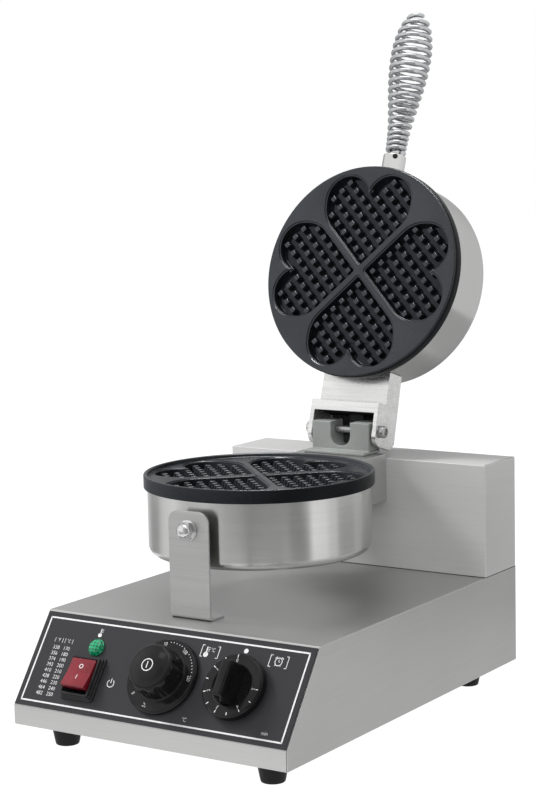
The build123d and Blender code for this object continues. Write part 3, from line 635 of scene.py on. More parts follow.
def slab(outline, low, high):
    """An outline of (x, y) points, made solid between two heights."""
    return lofted([[Vector((p[0], p[1], z)) for p in outline] for z in (low, high)], capped=True)


def bar(x0, y0, x1, y1, width, low, high):
    """A straight flat bar between two points."""
    a, b = Vector((x0, y0)), Vector((x1, y1))
    side = (b - a).normalized().orthogonal() * width / 2
    return slab([a - side, b - side, b + side, a + side], low, high)


def hoop(x, y, radius, width, low, high, segments, start=0.0, end=360.0):
    """A flat ring, or part of one, between two angles in degrees."""
    whole = end - start >= 360
    count = segments if whole else segments + 1
    inner, outer = radius - width / 2, radius + width / 2
    verts, faces = [], []
    for i in range(count):
        angle = start + (end - start) * i / segments
        for r, z in ((inner, low), (outer, low), (outer, high), (inner, high)):
            verts.append(Vector((x, y, z)) + Vector((*polar(r, angle), 0)))
    for i in range(segments):
        a, b = 4 * i, 4 * ((i + 1) % count)
        faces += [(a + k, a + (k + 1) % 4, b + (k + 1) % 4, b + k) for k in range(4)]
    if not whole:
        faces += [(0, 3, 2, 1), tuple(4 * (count - 1) + k for k in range(4))]
    return verts, faces


def hexagonal(flats, low, high, chamfer):
    """A hexagonal nut with chamfered corners."""
    corner = flats / math.sqrt(3)
    small, slope = corner - chamfer, chamfer * 0.6
    rings = []
    for widest, z in ((small, low), (corner, low + slope), (corner, high - slope), (small, high)):
        ring = []
        for angle in range(0, 360, 15):
            reach = min(flats / 2 / math.cos(math.radians(angle % 60 - 30)), widest)
            ring.append(Vector((*polar(reach, angle), z)))
        rings.append(ring)
    return lofted(rings, capped=True)


def round_box(half_x, half_y, corner, height):
    """A rectangle with rounded corners as a ring of points."""
    ring = []
    for side_x, side_y, start in ((1, 1, 0), (-1, 1, 90), (-1, -1, 180), (1, -1, 270)):
        x, y = side_x * (half_x - corner), side_y * (half_y - corner)
        ring += [Vector((*p, height)) for p in arc(x, y, corner, corner, start, start + 90, 6)]
    return ring


def curve_shape(curve):
    """The faces of a curve, as a shape. The curve is removed."""
    mesh = evaluated(put(curve.name, curve))
    shape = [v.co.copy() for v in mesh.vertices], [tuple(p.vertices) for p in mesh.polygons]
    bpy.data.meshes.remove(mesh)
    return shape


def lettered(words, size, x, y, low, high, turn=0.0, squeeze=1.0):
    """Small generic lettering as a thin solid, in millimetres."""
    curve = bpy.data.curves.new("letters", "FONT")
    curve.body = words
    curve.size = size
    curve.align_x = "CENTER"
    curve.align_y = "CENTER"
    curve.extrude = (high - low) / 2
    curve.offset = -0.008 * size
    curve.resolution_u = 3
    place = Matrix.Translation((x, y, (low + high) / 2)) @ turned_round(turn)
    return moved(curve_shape(curve), place @ Matrix.Diagonal((squeeze, 1, 1, 1)))


def filled(outlines, height):
    """Flat faces between an outer outline and its holes."""
    curve = bpy.data.curves.new("fill", "CURVE")
    curve.dimensions = "2D"
    curve.fill_mode = "BOTH"
    for outline in outlines:
        spline = curve.splines.new("POLY")
        spline.points.add(len(outline) - 1)
        for point, spot in zip(spline.points, outline):
            point.co = (spot[0], spot[1], 0, 1)
        spline.use_cyclic_u = True
    return moved(curve_shape(curve), Matrix.Translation((0, 0, height)))


# -------- geometry nodes
class Generator(Graph):
    """A geometry node tree with named inputs, ending in Realize Instances and Set Material."""

    def __init__(self, name, inputs):
        tree = bpy.data.node_groups.new(name, "GeometryNodeTree")
        super().__init__(tree)
        for way in ("INPUT", "OUTPUT"):
            tree.interface.new_socket(name="Geometry", in_out=way, socket_type="NodeSocketGeometry")
        self.values = {}
        for label, value in inputs.items():
            kind = "NodeSocketInt" if isinstance(value, int) else "NodeSocketFloat"
            item = tree.interface.new_socket(name=label, in_out="INPUT", socket_type=kind)
            item.default_value = value
            self.values[item.identifier] = value
        self.given = self.add("NodeGroupInput").outputs

    def cone(self, sides, low, high, height):
        values = {"Vertices": sides, "Radius Bottom": low, "Radius Top": high, "Depth": height}
        return self.add("GeometryNodeMeshCone", values, fill_type="NGON").outputs["Mesh"]

    def box(self, x, y, z):
        return self.add("GeometryNodeMeshCube", {"Size": self.vector(X=x, Y=y, Z=z)}).outputs["Mesh"]

    def lifted(self, shape, height):
        values = {"Geometry": shape, "Translation": self.vector(Z=height)}
        return self.add("GeometryNodeTransform", values).outputs[0]

    def swung(self, angle, radius, height=0.0):
        """A point at an angle and a radius round Z."""
        x = self.times(self.math("COSINE", angle), radius)
        y = self.times(self.math("SINE", angle), radius)
        return self.vector(X=x, Y=y, Z=height)

    def copies(self, points, shape, finish, turn=(0, 0, 0)):
        """Ends the tree with a copy of the shape at each point."""
        values = {"Points": points, "Instance": shape, "Rotation": turn}
        return self.close(self.add("GeometryNodeInstanceOnPoints", values).outputs[0], finish)

    def close(self, geometry, finish):
        """Ends the tree with the geometry made real, in its finish."""
        whole = self.add("GeometryNodeRealizeInstances", {0: geometry}).outputs[0]
        values = {"Geometry": whole, "Material": FINISHES[finish]}
        self.add("NodeGroupOutput", {0: self.add("GeometryNodeSetMaterial", values).outputs[0]})
        return self

    def grow(self, name, points=((0, 0, 0),)):
        """Runs the tree on some points, in millimetres, and gives the plain mesh."""
        obj = put(name, joined(name, [(points, [])]))
        modifier = obj.modifiers.new("generator", "NODES")
        modifier.node_group = self.tree
        for identifier, value in self.values.items():
            modifier[identifier] = value
        return evaluated(obj)


def stud_generator(sizes):
    """Square tapered studs, one at each point."""
    inputs = {
        "Base Width": sizes.stud_base / MM,
        "Top Width": sizes.stud_top / MM,
        "Height": sizes.stud_height / MM,
        "Sink": 0.4,
    }
    graph = Generator("plate studs", inputs)
    given = graph.given
    half_diagonal = math.sqrt(0.5)
    low = graph.times(given["Base Width"], half_diagonal)
    high = graph.times(given["Top Width"], half_diagonal)
    stud = graph.cone(4, low, high, graph.math("ADD", given["Height"], given["Sink"]))
    lowered = graph.lifted(stud, graph.times(given["Sink"], -1.0))
    return graph.copies(given["Geometry"], lowered, "non_stick_coating")


def screw_generator():
    """Pan-head screws, one at each point, with a crosswise recess."""
    graph = Generator("pan-head screws", {"Head Radius": 3.1, "Head Height": 1.6, "Slot Width": 0.55})
    radius, height, slot = graph.given["Head Radius"], graph.given["Head Height"], graph.given["Slot Width"]
    shoulder = graph.times(radius, 0.93)
    crown = graph.times(radius, 0.62)
    rim_height = graph.times(height, 0.6)
    rim = graph.cone(24, radius, shoulder, rim_height)
    dome = graph.lifted(graph.cone(24, shoulder, crown, graph.times(height, 0.4)), rim_height)
    head = graph.add("GeometryNodeJoinGeometry")
    for part in (rim, dome):
        graph.feed(head.inputs[0], part)
    cut = graph.add("GeometryNodeMeshBoolean", {0: head.outputs[0]}, operation="DIFFERENCE", solver="EXACT")
    long_side = graph.times(radius, 1.15)
    for x, y in ((long_side, slot), (slot, long_side)):
        cutter = graph.lifted(graph.box(x, y, height), graph.times(height, 1.05))
        graph.feed(cut.inputs[1], cutter)
    return graph.copies(graph.given["Geometry"], cut.outputs[0], "bright_plating")


def tick_generator(radius, length, width, count, first, step):
    """Short marks round a dial, from a first angle in even steps, in degrees."""
    inputs = {
        "Radius": radius,
        "Length": length,
        "Width": width,
        "Thickness": 0.08,
        "Count": count,
        "First Angle": math.radians(first),
        "Step": math.radians(step),
    }
    graph = Generator("dial marks", inputs)
    given = graph.given
    index = graph.add("GeometryNodeInputIndex").outputs[0]
    angle = graph.math("MULTIPLY_ADD", index, given["Step"], given["First Angle"])
    values = {"Count": given["Count"], "Position": graph.swung(angle, given["Radius"])}
    points = graph.add("GeometryNodePoints", values).outputs[0]
    mark = graph.box(given["Length"], given["Width"], given["Thickness"])
    return graph.copies(points, mark, "printed_ink", graph.vector(Z=angle))


def coil_generator(sizes):
    """The handle's wire: tight turns at the neck, then open turns that swell and close again."""
    inputs = {
        "Wire Radius": sizes.wire / MM,
        "Neck Radius": sizes.neck / MM,
        "Belly Radius": sizes.belly / MM,
        "Top Radius": 4.2,
        "Belly Height": 87.0,
        "Top Reach": 41.5,
        "Tight Pitch": 4.45,
        "Open Pitch": 6.8,
        "Tight Turns": sizes.tight_turns,
        "Open Turns": sizes.open_turns,
        "Points A Turn": 36,
        "Wire Sides": 12,
    }
    graph = Generator("handle coil", inputs)
    given = graph.given
    count = graph.math("ADD", given["Tight Turns"], given["Open Turns"])
    count = graph.math("MULTIPLY_ADD", count, given["Points A Turn"], 1.0)
    line = graph.add("GeometryNodeCurvePrimitiveLine").outputs[0]
    line = graph.add("GeometryNodeResampleCurve", {"Curve": line, "Count": count}).outputs[0]
    turn = graph.math("DIVIDE", graph.add("GeometryNodeInputIndex").outputs[0], given["Points A Turn"])
    tight = graph.times(graph.math("MINIMUM", turn, given["Tight Turns"]), given["Tight Pitch"])
    rest = graph.math("MAXIMUM", graph.math("SUBTRACT", turn, given["Tight Turns"]), 0.0)
    height = graph.math("MULTIPLY_ADD", rest, given["Open Pitch"], tight)
    radius = coil_radius(graph, height)
    place = graph.swung(graph.times(turn, 2 * math.pi), radius, height)
    path = graph.add("GeometryNodeSetPosition", {"Geometry": line, "Position": place}).outputs[0]
    values = {"Resolution": given["Wire Sides"], "Radius": given["Wire Radius"]}
    wire = graph.add("GeometryNodeCurvePrimitiveCircle", values).outputs["Curve"]
    tube = graph.add("GeometryNodeCurveToMesh", {"Curve": path, "Profile Curve": wire, "Fill Caps": True})
    smooth = graph.add("GeometryNodeSetShadeSmooth", {"Geometry": tube.outputs[0]}).outputs[0]
    return graph.close(smooth, "drawn_wire")


def coil_radius(graph, height):
    """The coil's radius at a height: a smooth swell up to the belly, then a round top."""
    given = graph.given
    share = graph.math("MINIMUM", graph.math("DIVIDE", height, given["Belly Height"]), 1.0)
    wave = graph.math("COSINE", graph.times(share, math.pi))
    swell = graph.math("MULTIPLY_ADD", wave, -0.5, 0.5)
    gain = graph.math("SUBTRACT", given["Belly Radius"], given["Neck Radius"])
    low_part = graph.math("MULTIPLY_ADD", gain, swell, given["Neck Radius"])
    over = graph.math("DIVIDE", graph.math("SUBTRACT", height, given["Belly Height"]), given["Top Reach"])
    over = graph.math("MAXIMUM", over, 0.0)
    left = graph.math("MAXIMUM", graph.math("SUBTRACT", 1.0, graph.times(over, over)), 0.0)
    high_part = graph.times(given["Belly Radius"], graph.math("SQRT", left))
    high_part = graph.math("MAXIMUM", high_part, given["Top Radius"])
    is_low = graph.math("LESS_THAN", height, given["Belly Height"])
    values = {0: is_low, 2: high_part, 3: low_part}
    return graph.add("ShaderNodeMix", values, data_type="FLOAT").outputs[0]


# -------- the moulds and the two baking plates
PLATE_SEGMENTS = 128
STUD_PITCH = 14.45
STUD_ROW = 7.23
FIRST_ROW = 12.2
STUD_MARGIN = 4.6
LOWER_FACE = -2.9


def heart_outline(offset):
    """One mould's outline, widened by an offset, from its notch round to its tip and back."""
    lobe_x, lobe_y, lobe = 20.2, 61.5, 22.5 + offset
    flank, tip = 28.7, 3.0
    centre_x = 42.7 - flank
    side = math.sqrt(2) * 2.3
    start = math.degrees(math.acos(max(-1, -lobe_x / lobe)))
    half = arc(lobe_x, lobe_y, lobe, lobe, start, 0, 26)
    half += arc(centre_x, centre_x + side + flank * math.sqrt(2), flank + offset, flank + offset, 0, -45, 8)
    point = max(0.25, tip + offset)
    half += arc(0, side + tip * math.sqrt(2), point, point, -45, -90, 4)
    other = [(-x, y) for x, y in reversed(half[1:-1])]
    return [Vector(p) for p in half + other]


def heart_at(offset, height, quarter):
    turn = turned_round(90 * quarter)
    return [turn @ Vector((p.x, p.y, height)) for p in heart_outline(offset)]


def inside(point, outline):
    """Whether a point lies inside a closed outline."""
    hit = False
    for a, b in zip(outline, outline[1:] + outline[:1]):
        if (a.y > point.y) != (b.y > point.y):
            if point.x < a.x + (b.x - a.x) * (point.y - a.y) / (b.y - a.y):
                hit = not hit
    return hit


def stud_points(depth):
    """Where the studs of all four moulds stand. Those on the middle line may come nearer the edge."""
    edge, limit = heart_outline(0), heart_outline(-STUD_MARGIN)
    points = []
    for row in range(10):
        for column in range(-4, 5):
            shift = STUD_PITCH / 2 if row % 2 else 0
            spot = Vector((column * STUD_PITCH + shift, FIRST_ROW + row * STUD_ROW))
            if inside(spot, edge if spot.x == 0 else limit):
                points.append(Vector((spot.x, spot.y, depth)))
    return [turned_round(90 * quarter) @ p for quarter in range(4) for p in points]


def mould_profile(sizes):
    """A mould's side as (offset, height) steps, from the plate's face down to the mould's floor."""
    depth = sizes.mould_depth / MM
    inner = -sizes.ledge_width / MM
    step = -sizes.ledge_depth / MM
    bead = ((0.5, 0.0), (0.36, -0.05), (0.2, -0.25), (-0.25, 0.85 * step), (-0.4, step))
    ledge = ((inner + 0.3, step), (inner + 0.1, step - 0.12), (inner, step - 0.45))
    wall = ((inner - 0.55, 1.0 - depth), (inner - 0.8, 0.35 - depth), (inner - 1.3, -depth))
    return bead + ledge + wall


def plate_shapes(face, sizes, rim):
    """A cast plate with four moulds. The rim runs from the face's edge outwards and round to the back."""
    profile = mould_profile(sizes)
    outlines = [[polar(rim[0][0], 360 * i / PLATE_SEGMENTS) for i in range(PLATE_SEGMENTS)]]
    shapes = [lathe(rim, PLATE_SEGMENTS)]
    for quarter in range(4):
        rings = [heart_at(offset, face + height, quarter) for offset, height in profile]
        outlines.append(rings[0])
        shapes += [lofted(rings), filled([rings[-1]], rings[-1][0].z)]
    return shapes + [filled(outlines, face)]


def rounded_studs(name, sizes, floor):
    """The studs of one plate, standing on the moulds' floor, with rounded edges."""
    mesh = stud_generator(sizes).grow(name, stud_points(floor))
    with edited(mesh) as work:
        bmesh.ops.remove_doubles(work, verts=work.verts, dist=0.0001)
        sharp = [e for e in work.edges if len(e.link_faces) == 2 and e.calc_face_angle(0) > 0.5]
        sharp = [e for e in sharp if max(v.co.z for v in e.verts) > floor]
        bmesh.ops.bevel(work, geom=sharp, offset=0.38, segments=2, affect="EDGES", profile=0.6)
        bmesh.ops.recalc_face_normals(work, faces=work.faces)
    shade(mesh, 50)
    return mesh


def plate_piece(name, node, place, body, sizes, face, rim):
    """A plate with its studs as one piece. A darker copy of the coating paints shade on the steps round the
    moulds, low in the moulds round the studs and on the rim's outer side.
    """
    depth = sizes.mould_depth / MM
    step = sizes.ledge_depth / MM
    stud_foot = depth - 4.6
    mould_reach, rim_reach = 86.0, 91.7
    mesh = joined(name, plate_shapes(face, sizes, rounded(rim, 5)))
    close_mesh(mesh, 30)
    add_mesh(mesh, rounded_studs(name + "_studs", sizes, face - depth))
    mesh.materials.clear()
    for finish in ("non_stick_coating", "pocket_coating"):
        mesh.materials.append(FINISHES[finish])
    # Painted shade: faces on the steps, low in the moulds and on the rim's outer side take the darker
    # coating.
    for poly in mesh.polygons:
        down = face - poly.center.z
        out = poly.center.xy.length
        dark = 0.04 < down < 0.93 * step or stud_foot < down < depth + 0.1
        poly.material_index = int(dark and out < mould_reach or out > rim_reach)
    settle(piece(name, mesh, place), body, None, node)


class WAFFLE_OT_plates(bpy.types.Operator):
    """Make the two coated plates with heart moulds, beads and studs"""

    bl_idname = "waffle.plates"
    bl_label = "Baking plates"

    def execute(self, context):
        sizes = context.scene.waffle_plates
        wide, ring, neck = PLATE_RADIUS, -PLATE_RING, SPIGOT_RADIUS
        rim = [(90.2, 0.0), (91.4, 0.0, 0.7), (91.4, -3.0, 0.25), (wide, -3.0, 0.5), (wide, ring, 0.5)]
        rim += [(neck, ring), (neck, -13.6), (0, -13.6)]
        plate_piece("upper_baking_plate", "upper_plate", UPPER_PLATE, "lid", sizes, 0.0, rim)
        rim = [(88.0, LOWER_FACE), (88.8, LOWER_FACE, 0.6), (88.9, 0.0, 1.2), (wide, 0.0, 1.1)]
        rim += [(wide, ring, 0.6), (neck, ring), (neck, -16.5), (0, -16.5)]
        plate_piece("lower_baking_plate", "lower_plate", LOWER_PLATE, "base", sizes, LOWER_FACE, rim)
        return {"FINISHED"}


# -------- drums
def wrap_map(mesh):
    """UVs that run round a turned shape and along its profile."""
    whole_turn, lean, high = 2 * math.pi, 0.4, 200
    layer = mesh.uv_layers.new(name="wrap")
    for poly in mesh.polygons:
        spots = [mesh.vertices[mesh.loops[loop].vertex_index].co for loop in poly.loop_indices]
        angles = [math.atan2(co.y, co.x) if co.xy.length > 0.001 else None for co in spots]
        known = [angle for angle in angles if angle is not None]
        over_seam = max(known) - min(known) > math.pi
        for loop, co, angle in zip(poly.loop_indices, spots, angles):
            if angle is None:
                angle = sum(known) / len(known)
            if over_seam and angle < 0:
                angle += whole_turn
            layer.data[loop].uv = (angle / whole_turn + 0.5, (co.z - lean * co.xy.length) / high)


class WAFFLE_OT_drums(bpy.types.Operator):
    """Make the two drawn steel drums behind the plates"""

    bl_idname = "waffle.drums"
    bl_label = "Drums"

    def execute(self, context):
        wall, bend = 1, 7.4
        reach, top, low = DRUM_RADIUS, -PLATE_RING - 0.05, -PLATE_RING - DRUM_DEPTH
        profile = [(0, low), (reach, low, bend), (reach, top, 0.3), (reach - wall, top, 0.3)]
        profile += [(reach - wall, low + wall, bend - wall), (0, low + wall)]
        for name, node, place, body, finish in (
            ("lower_steel_drum", "lower_drum", LOWER_PLATE, "base", "drum_steel"),
            ("upper_steel_drum", "upper_drum", UPPER_PLATE, "lid", "lid_drum_steel"),
        ):
            mesh = joined(name, [lathe(rounded(profile, 8), 144)])
            close_mesh(mesh, 40)
            wrap_map(mesh)
            settle(piece(name, mesh, place), body, finish, node)
        return {"FINISHED"}


# -------- base, rear housing and feet
def foot_set():
    """The four rubber feet."""
    profile = [(0, 0.3), (3.6, 0.3), (3.6, 0.0), (9.0, 0.0, 1.0), (9.7, 3.0, 1.0), (11.0, 10.0)]
    profile += [(12.2, 14.2, 1.0), (12.4, 17.4, 0.5), (12.6, 18.9), (0, 18.9)]
    foot = lathe(rounded(profile, 5), 48)
    feet = [moved(foot, Matrix.Translation((x, y, 0))) for x in (-95.0, 95.0) for y in (-153.0, 148.0)]
    solid("rubber_foot_set", feet, WORLD, "base", "foot_rubber", "rubber_feet", 40)


def housing_seams():
    """Dark lines of painted shade where the sheets meet."""
    edge_x, edge_y, rear_side = 124.35, 124.75, 124.6
    slope = set_down((edge_x, FRONT_Y - 0.12, 33.6), PANEL_NORMAL)
    front = set_down((0, FRONT_Y + 0.02, 0), (0, -1, 0))
    lines = [
        moved(bar(0, 0.4, 0, 79.6, 0.35, 0.0, 0.16), slope),
        moved(bar(edge_x, 18.6, edge_x, 33.6, 0.35, 0, 0.1), front),
        bar(-124.4, edge_y, 124.4, edge_y, 0.5, 98.75, 99.15),
        bar(rear_side, 124.9, rear_side, 179.6, 0.6, 98.5, 99.1),
        bar(124.0, 126.0, 124.0, 179.0, 0.45, 192.2, 192.36),
    ]
    solid("housing_seams", lines, WORLD, "base", "seam_shadow", None)


def screw_set(name, spots, place):
    """Pan-head screws at some (x, y) spots of a place, as one piece."""
    mesh = screw_generator().grow(name, [(x, y, 0) for x, y in spots])
    shade(mesh)
    settle(piece(name, mesh, place), "base", "bright_plating")


class WAFFLE_OT_housings(bpy.types.Operator):
    """Make the folded steel base, the rear housing, their seams, screws and feet"""

    bl_idname = "waffle.housings"
    bl_label = "Housings and feet"

    def execute(self, context):
        edge = context.scene.waffle_steel.edge_round / MM
        for node, name, finish, width in (
            ("base_housing", "folded_base", "sheet_steel", edge),
            ("base_plate", "bottom_cover", "sheet_steel", 0.3),
            ("rear_housing", "rear_box", "rear_steel", edge),
            ("back_cover", "rear_cover", "sheet_steel", 0.3),
        ):
            softened(node, name, "base", finish, width)
        foot_set()
        housing_seams()
        cover = set_down((0, REAR_Y - 0.05, 0), (0, 1, 0), (-1, 0, 0))
        screw_set("cover_screws", [(x, z) for x in (-112, 112) for z in (108, 183)], cover)
        below = set_down((0, 0, 19.22), (0, 0, -1))
        screw_set("bottom_screws", [(x, y) for x in (-104, 104) for y in (-166, 0, 166)], below)
        return {"FINISHED"}


class WAFFLE_OT_gland(bpy.types.Operator):
    """Make the ribbed cable gland in the rear cover"""

    bl_idname = "waffle.gland"
    bl_label = "Cable gland"

    def execute(self, context):
        bore, collar, neck = 3.75, 9.4, 6.45
        outline = [(bore, -5.0), (collar, -5.0, 0.4), (collar, 0.0), (neck, 0.0), (neck, 1.0)]
        outline += [(collar, 1.0), (collar, 4.0, 0.8)]
        for z in (5.0, 7.0, 9.0, 11.0):
            outline += [(6.1, z - 0.4, 0.15), (6.1, z, 0.15), (neck, z + 0.3, 0.2), (neck, z + 1.2, 0.2)]
        outline += [(6.0, 12.95, 0.5), (bore, 12.95, 0.4), (bore, -5.0)]
        shape = lathe(rounded(outline, 3)[:-1], 48, closed=True)
        solid("cord_gland", [shape], GLAND, "base", "switch_plastic", "cable_gland", 40)
        return {"FINISHED"}


# -------- front strip and rear support
class WAFFLE_OT_supports(bpy.types.Operator):
    """Make the front strip, its washer and nuts, and the rear support"""

    bl_idname = "waffle.supports"
    bl_label = "Strip and rear support"

    def execute(self, context):
        softened("front_strip", "bent_strip", "base", "strip_steel", 0.3)
        softened("rear_support", "folded_support", "base", "sheet_steel", 0.5)
        flats = 12.9
        washer = rounded([(0, 9.4), (8.15, 9.4, 0.3), (8.15, 10.88, 0.3), (0, 10.88)], 3)
        crown = [(0, 15.0), (5.85, 15.0, 0.2), (5.85, 15.6, 0.3)]
        crown += arc(0, 15.4, 5.85, 3.65, 12, 84, 6) + [(0, 19.05)]
        for name, node, shapes in (
            ("hexagon_spacer", "spacer_nut", [hexagonal(flats, 0.0, 7.6, 0.5)]),
            ("plain_washer", "strip_washer", [lathe(washer, 48)]),
            ("domed_nut", "dome_nut", [hexagonal(flats, 10.9, 15.1, 0.7), lathe(rounded(crown, 2), 48)]),
        ):
            solid(name, shapes, STRIP_BOLT, "base", "bright_plating", node, 32)
        return {"FINISHED"}


# -------- hinge
def darken_mouth(bracket):
    """Paints shade on the faces deep in the bracket's mouth."""
    half_width, front, back, low, high = 27, 138, 152, 205, 238
    bracket.data.materials.append(FINISHES["seam_shadow"])
    for poly in bracket.data.polygons:
        x, y, z = poly.center / MM
        within = abs(x - HEAD_X) < half_width and front < y < back and low < z < high
        if within and poly.normal.y < 0.5:
            poly.material_index = 1


SLEEVE_Y = 131.8
SLEEVE_DROP = -14.0
SLEEVE_SIDES = 24


def sleeve_rings():
    """The lead sleeve's flattened sections, up from the base and then along the lid."""
    half_width, half_depth, roundness = 7.4, 2.4, 0.75
    path = [(SLEEVE_Y, z) for z in (180.8, 186, 192, 198, 203)]
    path += [(132.4, 207.5), (134.6, 211.5), (137.6, 215.2)]
    for reach in (8.0, 14.0, 20.0, 26.0, 32.0, 38.0, 44.0, 50.5):
        path.append(tuple((LID @ Vector((0, reach, SLEEVE_DROP))).yz))
    rings = []
    for before, here, after in zip(path[:1] + path, path, path[1:] + path[-1:]):
        away = Vector((0, before[1] - after[1], after[0] - before[0])).normalized()
        ring = []
        for k in range(SLEEVE_SIDES):
            x, y = polar(1, 360 * k / SLEEVE_SIDES)
            wide = half_width * math.copysign(abs(x) ** roundness, x)
            deep = half_depth * math.copysign(abs(y) ** roundness, y)
            ring.append(Vector((HEAD_X + wide, *here)) + away * deep)
        rings.append(ring)
    return rings


def lead_sleeve():
    """The woven sleeve from the base to the lid."""
    rings = sleeve_rings()
    mesh = joined("lead_sleeve", [lofted(rings, capped=True)])
    layer = mesh.uv_layers.new(name="wrap")
    for loop in mesh.loops:
        row, column = divmod(loop.vertex_index, SLEEVE_SIDES)
        layer.data[loop.index].uv = (column / SLEEVE_SIDES, row / len(rings))
    with edited(mesh) as work:
        bmesh.ops.recalc_face_normals(work, faces=work.faces)
    shade(mesh, 60)
    sleeve = piece("lead_sleeve", mesh)
    mesh.materials.append(FINISHES["woven_sleeve"])
    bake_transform(sleeve)
    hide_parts("base_lead_sleeve", "lid_lead_sleeve")


class WAFFLE_OT_hinge(bpy.types.Operator):
    """Make the cast hinge block, the lid's bracket, the pin and the lead sleeve"""

    bl_idname = "waffle.hinge"
    bl_label = "Hinge"

    def execute(self, context):
        softened("hinge_block", "cast_hinge_block", "base", "dull_casting", 0.7)
        darken_mouth(softened("lid_bracket", "lid_arm_bracket", "lid", "brushed_casting", 0.5))
        right, left = (set_down(HINGE, (way, 0, 0), (0, 1, 0)) for way in (1, -1))
        head = 5.2
        pin = [(0, -27.0), (2.9, -27.0), (2.9, 33.6), (head, 33.65, 0.3), (head, 38.0, 1.2)]
        pin += [(2.7, 39.2, 0.3), (2.4, 37.0, 0.2), (0, 37.0)]
        pin = [lathe(rounded(pin, 4), 48)]
        solid("pivot_pin", pin, right, "lid", "turned_pin", "hinge_pin", 38)
        nut = [(0, 30.0), (2.45, 30.0), (2.45, 33.66), (head, 33.66, 0.3), (head, 36.6, 0.5)]
        nut += arc(0, 36.6, head, 2.6, 15, 75, 4) + [(0, 39.2)]
        nut = [lathe(rounded(nut, 3), 48)]
        solid("pivot_cap_nut", nut, left, "lid", "bright_plating", "hinge_cap_nut", 38)
        lead_sleeve()
        return {"FINISHED"}


# -------- handle
class WAFFLE_OT_handle(bpy.types.Operator):
    """Make the ferrule, the rod and the coiled wire grip"""

    bl_idname = "waffle.handle"
    bl_label = "Handle"

    def execute(self, context):
        softened("handle_ferrule", "turned_ferrule", "lid", "turned_ferrule", 0.6)
        ferrule_top, gap, wire = 21.0, 0.25, 4.0
        mesh = coil_generator(context.scene.waffle_coil).grow("wire_grip")
        foot = shifted(HANDLE, 0, 0, ferrule_top + gap + wire / 2 / math.cos(math.pi / 8))
        settle(piece("wire_grip", mesh, foot), "lid", "drawn_wire", "handle_spring")
        across = HANDLE @ turned_round(-57.7) @ set_down((9.9, 0, 17.6), (1, 0, 0), (0, 1, 0))
        # Painted shade: a thin dark disc on the ferrule's side that stands for a hole in it.
        hole = [lathe([(0, -0.3), (2.3, -0.3), (2.3, 0.06), (0, 0.12)], 32)]
        solid("ferrule_hole", hole, across, "lid", "seam_shadow", None)
        rod = rounded([(0, -11.9), (4.5, -11.9, 0.5), (4.5, 42.9, 0.8), (0, 42.9)], 3)
        solid("grip_rod", [lathe(rod, 40)], HANDLE, "lid", "bright_plating", "handle_rod", 38)
        return {"FINISHED"}


# -------- controls
PRINT_LOW = 0.8
PRINT = (PRINT_LOW, 0.88)
MARK = (PRINT_LOW, 0.9)
CROWN_RADIUS = 15.3


def bracketed(x, y):
    """A pair of square brackets drawn in thin bars."""
    half_width, half_height = 15.5 / 2, 9.6 / 2
    shapes = []
    for side in (-1, 1):
        edge = x + side * half_width
        shapes.append(bar(edge, y - half_height, edge, y + half_height, 0.55, *MARK))
        for level in (y - half_height + 0.25, y + half_height - 0.25):
            shapes.append(bar(edge, level, edge - side * 1.9, level, 0.5, *MARK))
    return shapes


def thermometer(x, y, size):
    """A plain thermometer mark."""
    shapes = [hoop(x, y - size * 0.34, size * 0.13, size * 0.26, *MARK, 20)]
    shapes.append(bar(x, y - size * 0.3, x, y + size * 0.45, size * 0.12, *MARK))
    for share in (0.02, 0.19, 0.36):
        level = y + size * share
        shapes.append(bar(x + size * 0.14, level, x + size * 0.32, level, size * 0.055, *MARK))
    return shapes


def clock(x, y, radius):
    """A plain alarm-clock mark."""
    shapes = [hoop(x, y, radius, 0.6, *MARK, 32)]
    shapes.append(bar(x, y, x, y + radius * 0.62, 0.45, *MARK))
    shapes.append(bar(x, y, x + radius * 0.45, y, 0.45, *MARK))
    for side in (-1, 1):
        bell, foot = 90 - 42 * side, math.radians(-90 + 38 * side)
        shapes.append(hoop(x, y, radius + 1.1, 0.6, *MARK, 6, bell - 15, bell + 15))
        ends = [(x + r * math.cos(foot), y + r * math.sin(foot)) for r in (radius, radius + 1.2)]
        shapes.append(bar(*ends[0], *ends[1], 0.5, *MARK))
    return shapes


